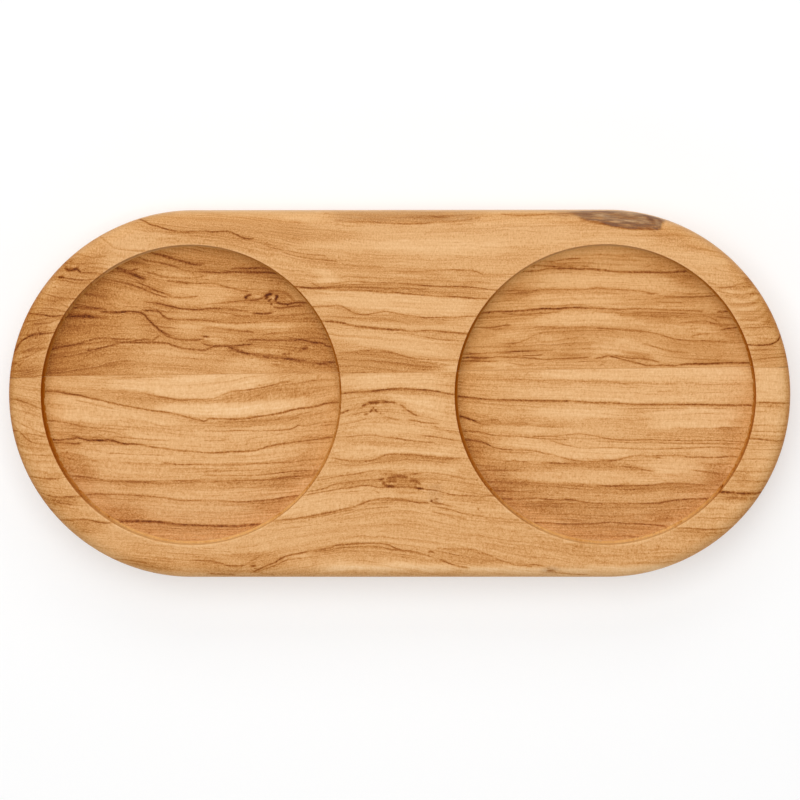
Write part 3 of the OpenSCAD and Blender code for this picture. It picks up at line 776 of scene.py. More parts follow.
class Figure:
    """Grain of one face of one stave: direction of growth, drawn veins, shades."""
    GX = np.arange(-92.0, 92.01, 1.0)
    GY = np.arange(-64.0, 64.01, 0.5)

    def __init__(self, name, text, z, seed, start_x, speck=1.0, gain=1.0, wide=1.0):
        self.seed, self.speck = seed, speck
        self.inks = [Line(t, z, False) for t in INKS.get(name, "").strip().splitlines()]
        self.lines = [Line(t, z) for t in text.strip().splitlines()]
        for ln in self.lines:
            ln.a, ln.w = ln.a * gain, ln.w * wide
        self.bands = [Band(t, z) for t in BANDS[name].strip().splitlines()]
        mid, slope, wt = [], [], []
        for ln in self.lines:
            d = np.diff(ln.p, axis=0)
            long_enough = ln.s[-1] > 2.5
            for k in range(len(d)):
                if long_enough and abs(d[k][0]) > 1.8 * abs(d[k][1]):
                    mid.append((ln.p[k] + ln.p[k + 1]) / 2)
                    slope.append(d[k][1] / d[k][0])
                    wt.append(np.hypot(*d[k]))
        mid, slope, wt = np.array(mid), np.clip(np.array(slope), -0.9, 0.9), np.array(wt)
        gx = np.exp(-0.5 * ((mid[:, :1] - self.GX[None]) / 6.0) ** 2)
        gy = np.exp(-0.5 * ((mid[:, 1:] - self.GY[None]) / 2.2) ** 2)
        num = gx.T @ (gy * (wt * slope)[:, None])
        den = gx.T @ (gy * wt[:, None])
        slope = num / (den + 0.6)
        v = np.zeros((len(self.GX), len(self.GY)))
        i0 = int(np.argmin(np.abs(self.GX - start_x)))
        v[i0] = self.GY
        for i in range(i0, len(self.GX) - 1):
            v[i + 1] = self.even(np.interp(self.GY - slope[i], self.GY, v[i]))
        for i in range(i0, 0, -1):
            v[i - 1] = self.even(np.interp(self.GY + slope[i], self.GY, v[i]))
        self.v = v
        # lines that run close together go to different sets
        self.sets = []
        for i, ln in enumerate(self.lines):
            cost = [0.0, 0.0, 0.0]
            for j in range(i):
                o = self.lines[j]
                if (o.p.min(0) - 2 < ln.p.max(0)).all() and (ln.p.min(0) - 2 < o.p.max(0)).all():
                    gap = np.hypot(ln.p[:, None, 0] - o.p[None, :, 0], ln.p[:, None, 1] - o.p[None, :, 1]).min()
                    if gap < 1.6:
                        cost[self.sets[j]] += 1.6 - gap
            self.sets.append(int(np.argmin(cost)))

    @staticmethod
    def even(row):
        """Keeps growth lines from being crowded together or pulled far apart."""
        out = np.concatenate([[row[0]], row[0] + np.cumsum(np.clip(np.diff(row), 0.33, 0.80))])
        bell = np.exp(-0.5 * (np.arange(-24, 25) / 8.0) ** 2)
        return out + np.convolve(np.pad(row - out, 24, mode="edge"), bell / bell.sum(), mode="valid")

    def flow(self, x, y):
        fx = np.clip((x - self.GX[0]), 0, len(self.GX) - 1.001)
        fy = np.clip((y - self.GY[0]) / 0.5, 0, len(self.GY) - 1.001)
        i, j = fx.astype(int), fy.astype(int)
        fx, fy = fx - i, fy - j
        v = self.v
        return ((v[i, j] * (1 - fx) + v[i + 1, j] * fx) * (1 - fy)
                + (v[i, j + 1] * (1 - fx) + v[i + 1, j + 1] * fx) * fy)

    def paint(self, x, y):
        """Grain coordinates, three sets of veins and the shade at points x, y."""
        n = len(x)
        grain = np.column_stack([x + 7.3 * self.seed, self.flow(x, y) + 31.7 * self.seed, np.full(n, 3.1 * self.seed)])
        veins = np.zeros((3, n, 3))
        veins[:, :, 0] = 4.0
        shade = np.zeros(n)
        for ln, s in zip(self.lines, self.sets):
            reach = 4.0 if ln.soft else 1.2
            idx, d, dark = ln.near(x, y, reach)
            if not len(idx):
                continue
            if ln.soft:
                on = np.where(d * math.copysign(1, ln.soft) > 0, 1.0, np.exp(-(d / 0.25) ** 2))
                shade[idx] -= abs(ln.soft) * dark * on * np.exp(-np.abs(d) / 1.1)
            wide = np.clip((1.05 - np.abs(d)) / 0.4, 0, 1)
            m = dark * wide * wide * (3 - 2 * wide)
            better = m > veins[s, idx, 1]
            k = idx[better]
            veins[s, k, 0] = (d / ln.w)[better]
            veins[s, k, 1] = m[better]
        for ln in self.inks:
            idx, d, dark = ln.near(x, y, 1.4)
            if len(idx):
                shade[idx] -= 0.74 * dark * np.exp(-(d / ln.w) ** 2)
        for b in self.bands:
            shade += b.at(x, y)
        veins[0, :, 2] = self.speck
        return grain, veins, shade


FIGURES = {
    ("back", "top"): Figure("top_back", TOP_BACK, TOP, 1, 0.0),
    ("back", "left"): Figure("left_back", LEFT_BACK, FLOOR, 2, -46.5, 1.0, 0.88, 1.35),
    ("back", "right"): Figure("right_back", RIGHT_BACK, FLOOR, 3, 46.5, 0.62),
    ("front", "top"): Figure("top_front", TOP_FRONT, TOP, 4, 0.0),
    ("front", "left"): Figure("left_front", LEFT_FRONT, FLOOR, 5, -46.5),
    ("front", "right"): Figure("right_front", RIGHT_FRONT, FLOOR, 6, 46.5),
}
STAIN_BANDS = [Band(t, TOP) for t in STAINS.strip().splitlines()]


# ---------------------------------------------------------------- stave meshes
def across(x, y):
    """Distance from the middle plane of the glue, towards the back."""
    return -SA * x + CA * (y - JOINT_Y)


def cut_angles(cx, rho, e):
    """Where a circle about (cx, 0) meets the face of the joint: right and left angle."""
    t = math.asin((e + JOINT_Y * CA + cx * SA) / rho)
    return SLANT + t, SLANT + math.pi - t


class Shell:
    """Triangles of one stave with the true surface normal at each of their corners."""

    def __init__(self):
        self.co, self.tri, self.nor, self.n = [], [], [], 0

    def add(self, pts, tris, nor):
        pts, tris = np.asarray(pts, float), np.asarray(tris, int)
        nor = np.broadcast_to(np.asarray(nor, float), pts.shape)
        a, b, c = (pts[tris[:, i]] for i in range(3))
        inside_out = (np.cross(b - a, c - a) * nor[tris].sum(1)).sum(1) < 0
        tris = np.where(inside_out[:, None], tris[:, ::-1], tris)
        self.co.append(pts)
        self.nor.append(nor[tris])
        self.tri.append(tris + self.n)
        self.n += len(pts)

    def strip(self, rings, nor):
        """Rows of equally many points, joined row to row."""
        rows, m = len(rings), len(rings[0])
        pts = np.vstack(rings)
        a = (np.arange(rows - 1)[:, None] * m + np.arange(m - 1)[None]).ravel()
        self.add(pts, np.vstack([np.column_stack([a, a + 1, a + m + 1]), np.column_stack([a, a + m + 1, a + m])]), nor)

    def fill(self, loops, inner, plane, nor):
        """Flat face inside loops[0], less the other loops; plane picks its two coordinates."""
        pts = np.vstack(loops + ([inner] if len(inner) else []))
        edges, owner, k = [], np.full(len(pts), -1), 0
        for i, lp in enumerate(loops):
            m = len(lp)
            edges += [(k + j, k + (j + 1) % m) for j in range(m)]
            owner[k:k + m] = i
            k += m
        flat = pts[:, plane]
        _, _, faces, orig, _, _ = delaunay_2d_cdt([Vector(p) for p in flat], edges, [], 1, 1e-6)
        to = np.array([o[0] if o else -1 for o in orig])
        tris = to[np.array(faces)]
        own = owner[tris]
        hole = (own[:, 0] > 0) & (own[:, 0] == own[:, 1]) & (own[:, 1] == own[:, 2])
        self.add(pts, tris[~hole], nor)


def hexes(x0, x1, y0, y1, h):
    rows = np.arange(y0, y1, h * 0.8660254)
    out = []
    for i, y in enumerate(rows):
        xs = np.arange(x0 + (i % 2) * h / 2, x1, h)
        out.append(np.column_stack([xs, np.full(len(xs), y)]))
    return np.vstack(out)


# Small knots and the stain, where the figure is too fine for the common spacing: left, upper, right, lower edge.
DETAIL = {
    "top": "374,470 430,495 | 426,496 446,506 | 358,398 402,417 | 570,208 668,232 | 60,258 84,274",
    "left": "238,288 300,316",
    "right": "",
}


def infill(face, spacing):
    """Points inside a face, closer together where there is small figure."""
    z = TOP if face == "top" else FLOOR
    h = hexes(-86, 86, -41, 41, spacing)
    extra = []
    for item in DETAIL[face].split("|"):
        if item.strip():
            a, b = item.split()
            x0, y1 = (float(t) for t in on_plane(*[float(t) for t in a.split(",")], z))
            x1, y0 = (float(t) for t in on_plane(*[float(t) for t in b.split(",")], z))
            h = h[(h[:, 0] < x0) | (h[:, 0] > x1) | (h[:, 1] < y0) | (h[:, 1] > y1)]
            extra.append(hexes(x0 + 0.1, x1 - 0.1, y0 + 0.1, y1 - 0.1, 0.17))
    return np.vstack([h] + extra)


def stave(name, side):
    e = side * HALF_GLUE
    shell = Shell()
    fine, coarse = 0.42, 2.2

    def outline(rho, z, n_end, n_mid):
        r, _ = cut_angles(END_X, rho, e)
        _, l = cut_angles(-END_X, rho, e)
        if side > 0:
            a1, a2 = np.linspace(r, math.pi / 2, n_end), np.linspace(math.pi / 2, l, n_end)
            p1 = np.column_stack([END_X + rho * np.cos(a1), rho * np.sin(a1)])
            p2 = np.column_stack([-END_X + rho * np.cos(a2), rho * np.sin(a2)])
            mid = np.column_stack([np.linspace(END_X, -END_X, n_mid)[1:-1], np.full(n_mid - 2, rho)])
        else:
            a1, a2 = np.linspace(l, 1.5 * math.pi, n_end), np.linspace(-math.pi / 2, r, n_end)
            p1 = np.column_stack([-END_X + rho * np.cos(a1), rho * np.sin(a1)])
            p2 = np.column_stack([END_X + rho * np.cos(a2), rho * np.sin(a2)])
            mid = np.column_stack([np.linspace(-END_X, END_X, n_mid)[1:-1], np.full(n_mid - 2, -rho)])
        p = np.vstack([p1, mid, p2])
        return np.column_stack([p, np.full(len(p), z)])

    def well_arc(cx, rho, z, n):
        r, l = cut_angles(cx, rho, e)
        a = np.linspace(r, l, n) if side > 0 else np.linspace(l, r + 2 * math.pi, n)
        return np.column_stack([cx + rho * np.cos(a), rho * np.sin(a), np.full(n, z)])

    # outer edge, from the upper face round to the underside
    prof = [(OUT_R - EDGE_TOP + EDGE_TOP * math.cos(t), TOP - EDGE_TOP + EDGE_TOP * math.sin(t))
            for t in np.linspace(math.pi / 2, 0, 12)]
    prof += [(OUT_R, z) for z in np.linspace(TOP - EDGE_TOP, UNDER + EDGE_LOW, 14)[1:-1]]
    prof += [(OUT_R - EDGE_LOW + EDGE_LOW * math.cos(t), UNDER + EDGE_LOW - EDGE_LOW * math.sin(t))
             for t in np.linspace(0, math.pi / 2, 8)]
    n_end, n_mid = (126, 188) if side > 0 else (148, 188)
    tilt = list(np.linspace(math.pi / 2, 0, 12)) + [0.0] * 12 + list(-np.linspace(0, math.pi / 2, 8))
    outer = [outline(r, z, n_end, n_mid) for r, z in prof]
    facing = []
    for ring, t in zip(outer, tilt):
        d = ring[:, :2] - np.column_stack([np.clip(ring[:, 0], -END_X, END_X), np.zeros(len(ring))])
        d /= np.linalg.norm(d, axis=1)[:, None]
        facing.append(np.column_stack([d * math.cos(t), np.full(len(ring), math.sin(t))]))
    shell.strip(outer, np.vstack(facing))

    # wells, from the rim down to the floor
    wprof = [(WELL_R + RIM_R + RIM_R * math.cos(t), TOP - RIM_R + RIM_R * math.sin(t))
             for t in np.linspace(math.pi / 2, math.pi, 6)]
    wprof += [(WELL_R, z) for z in np.linspace(TOP - RIM_R, FLOOR + COVE_R, 9)[1:-1]]
    wprof += [(WELL_R - COVE_R + COVE_R * math.cos(t), FLOOR + COVE_R - COVE_R * math.sin(t))
              for t in np.linspace(0, math.pi / 2, 7)]
    wtilt = list(np.linspace(math.pi / 2, 0, 6)) + [0.0] * 7 + list(np.linspace(0, math.pi / 2, 7))
    n_well = 230 if side > 0 else 276
    wells = {}
    for key, cx in WELLS.items():
        wells[key] = [well_arc(cx, r, z, n_well) for r, z in wprof]
        facing = []
        for ring, t in zip(wells[key], wtilt):
            d = np.array([cx, 0.0]) - ring[:, :2]
            d /= np.linalg.norm(d, axis=1)[:, None]
            facing.append(np.column_stack([d * math.cos(t), np.full(len(ring), math.sin(t))]))
        shell.strip(wells[key], np.vstack(facing))

    def cut_run(p, q, step):
        """Points along the joint's face from p to q, ends left out."""
        n = max(2, int(np.linalg.norm(q - p) / step) + 1)
        t = np.linspace(0, 1, n + 1)[1:-1, None]
        return p + (q - p) * t

    def first_left(arc):
        """The arc from its left end to its right end."""
        return arc if arc[0][0] < arc[-1][0] else arc[::-1]

    # upper face: one loop round the outside, then back along the joint and the wells
    out = first_left(outer[0])
    wl, wr = first_left(wells["left"][0]), first_left(wells["right"][0])
    top_cut = [cut_run(out[0], wl[0], 0.5), cut_run(wl[-1], wr[0], 0.5), cut_run(wr[-1], out[-1], 0.5)]
    loop = np.vstack([out[::-1], top_cut[0], wl, top_cut[1], wr, top_cut[2]])
    h = infill("top", fine)
    gap = 0.55 * fine
    d_well = np.min([np.hypot(h[:, 0] - cx, h[:, 1]) for cx in WELLS.values()], axis=0)
    ok = ((reach_out(h[:, 0], h[:, 1]) < OUT_R - EDGE_TOP - gap) & (d_well > WELL_R + RIM_R + gap)
          & (side * across(h[:, 0], h[:, 1]) > HALF_GLUE + gap))
    inner = h[ok]
    shell.fill([loop], np.column_stack([inner, np.full(len(inner), TOP)]), [0, 1], (0, 0, 1))

    # floors of the wells
    floor_cut = {}
    for key, cx in WELLS.items():
        arc = first_left(wells[key][-1])
        run = cut_run(arc[0], arc[-1], 0.5)
        floor_cut[key] = run
        h = infill(key, fine)
        ok = ((np.hypot(h[:, 0] - cx, h[:, 1]) < WELL_R - COVE_R - gap)
              & (side * across(h[:, 0], h[:, 1]) > HALF_GLUE + gap))
        inner = h[ok]
        shell.fill([np.vstack([arc[::-1], run])], np.column_stack([inner, np.full(len(inner), FLOOR)]), [0, 1], (0, 0, 1))

    # underside with its sockets
    low = first_left(outer[-1])
    low_cut = cut_run(low[0], low[-1], 2.0)
    rings, ang = [], np.linspace(0, 2 * math.pi, 73)[:-1]
    for sx in (-1, 1):
        c = np.array([sx * FOOT_X, side * FOOT_Y])
        ring = np.column_stack([c[0] + SOCKET_R * np.cos(ang), c[1] + SOCKET_R * np.sin(ang), np.full(72, UNDER)])
        roof = ring.copy()
        roof[:, 2] = SOCKET_ROOF
        half = (ring + roof) / 2
        rings.append(ring)
        inward = np.column_stack([-np.cos(ang), -np.sin(ang), np.zeros(72)])
        shell.strip([np.vstack([r, r[:1]]) for r in (ring, half, roof)], np.vstack([inward, inward[:1]] * 3))
        hs = hexes(c[0] - 6, c[0] + 6, c[1] - 6, c[1] + 6, 0.9)
        hs = hs[np.hypot(hs[:, 0] - c[0], hs[:, 1] - c[1]) < SOCKET_R - 0.5]
        shell.fill([roof], np.column_stack([hs, np.full(len(hs), SOCKET_ROOF)]), [0, 1], (0, 0, -1))
    g = hexes(-86, 86, -41, 41, coarse)
    ok = ((reach_out(g[:, 0], g[:, 1]) < OUT_R - EDGE_LOW - 0.9)
          & (side * across(g[:, 0], g[:, 1]) > HALF_GLUE + 0.9)
          & (np.hypot(np.abs(g[:, 0]) - FOOT_X, g[:, 1] - side * FOOT_Y) > SOCKET_R + 0.6))
    inner = g[ok]
    shell.fill([np.vstack([low[::-1], low_cut])] + rings, np.column_stack([inner, np.full(len(inner), UNDER)]), [0, 1], (0, 0, -1))

    # face of the joint
    at = 0 if outer[0][0][0] < outer[0][-1][0] else -1
    left_edge = np.array([r[at] for r in outer])
    right_edge = np.array([r[-1 - at if at == 0 else 0] for r in outer])
    parts = [left_edge[:1], top_cut[0]]
    for i, key in enumerate(("left", "right")):
        down = np.array([first_left(r)[0] for r in wells[key]])
        up = np.array([first_left(r)[-1] for r in wells[key]])[::-1]
        parts += [down, floor_cut[key], up, top_cut[i + 1]]
    parts += [right_edge, low_cut[::-1], left_edge[:0:-1]]
    shell.fill([np.vstack(parts)], np.zeros((0, 3)), [0, 2], (side * SA, -side * CA, 0))

    co, tri, nor = np.vstack(shell.co), np.vstack(shell.tri), np.vstack(shell.nor)
    _, first, back = np.unique(np.round(co, 5), axis=0, return_index=True, return_inverse=True)
    co, tri = co[first], back.reshape(-1)[tri]
    whole = (tri[:, 0] != tri[:, 1]) & (tri[:, 1] != tri[:, 2]) & (tri[:, 0] != tri[:, 2])
    tri, nor = tri[whole], nor[whole]

    me = bpy.data.meshes.new(name)
    world = co.copy()
    world[:, 0] *= FIT_X
    me.from_pydata(np.round(world * 0.001, 9).tolist(), [], tri.tolist())
    me.update()
    ob = bpy.data.objects.new(name, me)
    scene.collection.objects.link(ob)
    me.shade_smooth()
    me.normals_split_custom_set(nor.reshape(-1, 3).tolist())
    return ob, co


def dress(ob, co, which):
    """Writes the figure of the wood onto the points of a stave, with painted light and shade on the outer edge, the
    well walls and the well floors.
    """
    x, y, z = co.T
    n = len(co)
    grain, veins = np.zeros((n, 3)), np.zeros((3, n, 3))
    tone = np.zeros((n, 3))
    d_well = np.min([np.hypot(x - cx, y) for cx in WELLS.values()], axis=0)
    floor = (d_well < WELL_R - 0.40) & (z > FLOOR - 0.05) & (z < FLOOR + 0.45)
    lean = 0.85 if which == "back" else -0.7
    for key in ("top", "left", "right"):
        sel = ~floor if key == "top" else floor & ((x < 0) if key == "left" else (x > 0))
        idx = np.nonzero(sel)[0]
        yy = y[idx] + lean * np.maximum(TOP - EDGE_TOP - z[idx], 0) if key == "top" else y[idx]
        g, v, s = FIGURES[which, key].paint(x[idx], yy)
        if key == "top":
            turned = np.arccos(np.clip(1 - (TOP - z[idx]) / EDGE_TOP, 0, 1)) * (reach_out(x[idx], y[idx]) > OUT_R - EDGE_TOP)
            run = EDGE_TOP * (turned - np.sin(turned)) * np.abs(y[idx]) / OUT_R
            rolled = turned > 0.3
            g[rolled] = FIGURES[which, key].paint(x[idx][rolled], (yy + np.where(lean > 0, run, -run))[rolled])[0]
        grain[idx], veins[:, idx], tone[idx, 0] = g, v, s
        if key == "top":
            for b in STAIN_BANDS:
                tone[idx, 1] += b.at(x[idx], yy)
    # end grain shows where the surface stands square to the length of the stave
    end_grain_and_wall_shade = np.zeros(n)
    ro = reach_out(x, y)
    outside = ro > OUT_R - EDGE_TOP
    along = np.abs(x - np.clip(x, -END_X, END_X)) / np.maximum(ro, 1e-6)
    end_cut = ramp((ro - (OUT_R - 1.5)) / 1.3) * along ** 1.5
    end_grain_and_wall_shade[outside] = (np.where(x < 0, 0.46 if which == "back" else 0.32, 0.34) * end_cut)[outside]
    # Painted light on the outer roundover: the tone is lifted, less at the ends. A warm tint stands for the light in
    # its shade, stronger towards the ends.
    edge = ramp((ro - (OUT_R - 2.4)) / 2.2)
    painted_bounce_tint = np.where(outside, np.where(y > 0.6 * OUT_R, 0.12, 0.14 + 0.24 * along) * edge, 0.0)
    tone[outside, 0] += (edge * (0.08 - 0.06 * along ** 3))[outside]
    # Painted light on the upright sides: the tone is lighter, more at the ends, with the same warm tint for their
    # shade.
    upright = outside * ramp((TOP - EDGE_TOP + 0.4 - z) / 0.8)
    tone[:, 0] += upright * (0.05 + 0.10 * along ** 3)
    painted_bounce_tint += upright * (0.30 - painted_bounce_tint)
    # Well walls: real end grain, with painted shade and light on top of it. The end-grain mix is made stronger, darker
    # and redder, at the back and on the walls that face right than on those that face left. The tone is lifted on the
    # front walls and the back cove as painted light. The warm tint keeps their shade golden.
    wall = (~floor) & (d_well < WELL_R + 0.12) & (z > FLOOR) & (z < TOP - 0.06)
    off = np.where(x < 0, x - WELLS["left"], x - WELLS["right"]) / WELL_R
    turn = np.arctan2(y, off * WELL_R)
    square = ramp((np.abs(off) - 0.25) / 0.75) * (1 - np.where(y < 0, 0.45, np.where((x < 0) & (off < 0), 0.70, 0.15)) * np.abs(np.sin(turn)))
    tilt, lip = np.clip((z - FLOOR) / COVE_R, 0, 1), ramp((z - (TOP - RIM_R - 0.15)) / 0.2)
    square_with_shade = square * np.where(off > 0, np.where(y < 5, np.where(x > 0, 0.65, 0.45), 0.82), 1.0)
    end_grain_and_wall_shade[wall] = np.maximum(square_with_shade, np.where(y < 0, 0.06, 0.50 + 0.18 * ramp((off - 0.1) / 0.4)))[wall]
    tone[wall, 0] += (np.where(y < 0, 0.03 + 0.34 * tilt, 0.50 - 0.30 * ramp((off - 0.1) / 0.4)) * (1 - square))[wall]
    painted_bounce_tint[wall] = np.where(y < 0, 0.9 - 0.2 * (1 - square), 0.9 - (1 - square) * 0.30)[wall]
    # Painted light: the top of each well's rim is a little lighter, more at the front.
    brow = (~floor) & (d_well < WELL_R + RIM_R + 0.02) & (z >= TOP - 0.06)
    tone[brow, 0] += (np.where(y < 0, 0.10, 0.05) * (1 - square))[brow]
    # light that has gone between wall and floor is warmer, and fades towards the back wall
    gap = np.maximum(WELL_R - d_well, 0)
    back, front, flank = np.maximum(np.sin(turn), 0), np.maximum(-np.sin(turn), 0), np.cos(turn) ** 2
    flank = np.where(off > 0, np.where(x > 0, 0.0, 0.5), np.where((x < 0) & (which == "front"), 0.55, 1.0)) * flank
    painted_bounce_tint[floor] = (np.where(y > -16, 0.55, 0.05) * np.exp(-gap / 1.6) + 0.45 * back * np.exp(-gap / 5.0)
                   + 0.35 * flank * np.exp(-gap / 6.0))[floor]
    # Painted light near the back-left of each well's wall, and painted shade along the back, front and side walls of
    # the floors.
    tone[floor, 0] += (np.where(x < 0, 0.14, 0.22) * np.maximum(np.cos(turn - np.where(x < 0, 1.75, 2.1)), 0) ** np.where(x < 0, 6, 4) * np.exp(-gap / 3.0)
                       - 0.05 * back ** 2 * np.exp(-gap / 4.0) - 0.02 * front ** 2 * np.exp(-gap / 4.0)
                       - np.where(turn ** 2 > 2.5, 0.14, 0.07) * flank ** 1.5 * np.exp(-gap / 2.5)
                       - 0.04 * flank * np.exp(-gap / 7.0))[floor]
    # Painted shade: the stain's grey-brown laid on the floors near the front walls.
    tone[floor, 1] += (0.26 * front ** 2 * np.exp(-gap / 6.0))[floor]
    veins[1, :, 2] = np.clip(painted_bounce_tint, 0, 1)
    tone[:, 2] = end_grain_and_wall_shade
    me = ob.data
    for key, data in (("grain", grain), ("vein_a", veins[0]), ("vein_b", veins[1]), ("vein_c", veins[2]), ("tone", tone)):
        at = me.attributes.new(key, "FLOAT_VECTOR", "POINT")
        at.data.foreach_set("vector", np.ascontiguousarray(data, np.float32).ravel())


# ---------------------------------------------------------------- materials
def lin(r, g, b):
    def f(c):
        c /= 255.0
        return c / 12.92 if c <= 0.04045 else ((c + 0.055) / 1.055) ** 2.4
    return f(r), f(g), f(b), 1.0


def under(r, g, b, sheen=0.005):
    """Colour of the bare surface that reads as r, g, b under a satin finish."""
    return tuple(max(c - sheen, 0.003) for c in lin(r, g, b)[:3]) + (1.0,)


class Net:
    def __init__(self, name):
        self.mat = bpy.data.materials.new(name)
        self.mat.use_nodes = True
        self.t = self.mat.node_tree
        self.t.nodes.clear()
        self.out = self.t.nodes.new("ShaderNodeOutputMaterial")
        self.bsdf = self.t.nodes.new("ShaderNodeBsdfPrincipled")
        self.t.links.new(self.bsdf.outputs[0], self.out.inputs[0])

    def put(self, sock, val):
        if isinstance(val, bpy.types.NodeSocket):
            self.t.links.new(val, sock)
        elif val is not None:
            sock.default_value = val

    def attr(self, name):
        n = self.t.nodes.new("ShaderNodeAttribute")
        n.attribute_type = "GEOMETRY"
        n.attribute_name = name
        return n

    def math(self, op, a, b=None, c=None, clamp=False):
        n = self.t.nodes.new("ShaderNodeMath")
        n.operation, n.use_clamp = op, clamp
        for i, v in enumerate((a, b, c)):
            self.put(n.inputs[i], v)
        return n.outputs[0]

    def vmath(self, op, a, b):
        n = self.t.nodes.new("ShaderNodeVectorMath")
        n.operation = op
        self.put(n.inputs[0], a)
        self.put(n.inputs[1], b)
        return n.outputs[0]

    def split(self, v):
        n = self.t.nodes.new("ShaderNodeSeparateXYZ")
        self.put(n.inputs[0], v)
        return n.outputs

    def join(self, x, y, z):
        n = self.t.nodes.new("ShaderNodeCombineXYZ")
        for i, v in enumerate((x, y, z)):
            self.put(n.inputs[i], v)
        return n.outputs[0]

    def noise(self, vec, scale=1.0, detail=2.0, rough=0.5, warp=0.0):
        n = self.t.nodes.new("ShaderNodeTexNoise")
        self.put(n.inputs["Vector"], vec)
        n.inputs["Scale"].default_value = scale
        n.inputs["Detail"].default_value = detail
        n.inputs["Roughness"].default_value = rough
        n.inputs["Distortion"].default_value = warp
        return n.outputs[0]

    def span(self, v, a, b, c=0.0, d=1.0, smooth=False):
        n = self.t.nodes.new("ShaderNodeMapRange")
        n.interpolation_type = "SMOOTHSTEP" if smooth else "LINEAR"
        for i, val in enumerate((v, a, b, c, d)):
            self.put(n.inputs[i], val)
        return n.outputs[0]

    def mix(self, fac, a, b, kind="MIX"):
        n = self.t.nodes.new("ShaderNodeMix")
        n.data_type, n.blend_type = "RGBA", kind
        self.put(n.inputs[0], fac)
        self.put(n.inputs[6], a)
        self.put(n.inputs[7], b)
        return n.outputs[2]

    def ramp(self, fac, stops):
        n = self.t.nodes.new("ShaderNodeValToRGB")
        el = n.color_ramp.elements
        while len(el) < len(stops):
            el.new(0.5)
        for e, (p, c) in zip(el, stops):
            e.position, e.color = p, c
        self.put(n.inputs[0], fac)
        return n.outputs[0]

    def bump(self, height, strength, distance):
        n = self.t.nodes.new("ShaderNodeBump")
        n.inputs["Strength"].default_value = strength
        n.inputs["Distance"].default_value = distance
        self.put(n.inputs["Height"], height)
        return n.outputs[0]


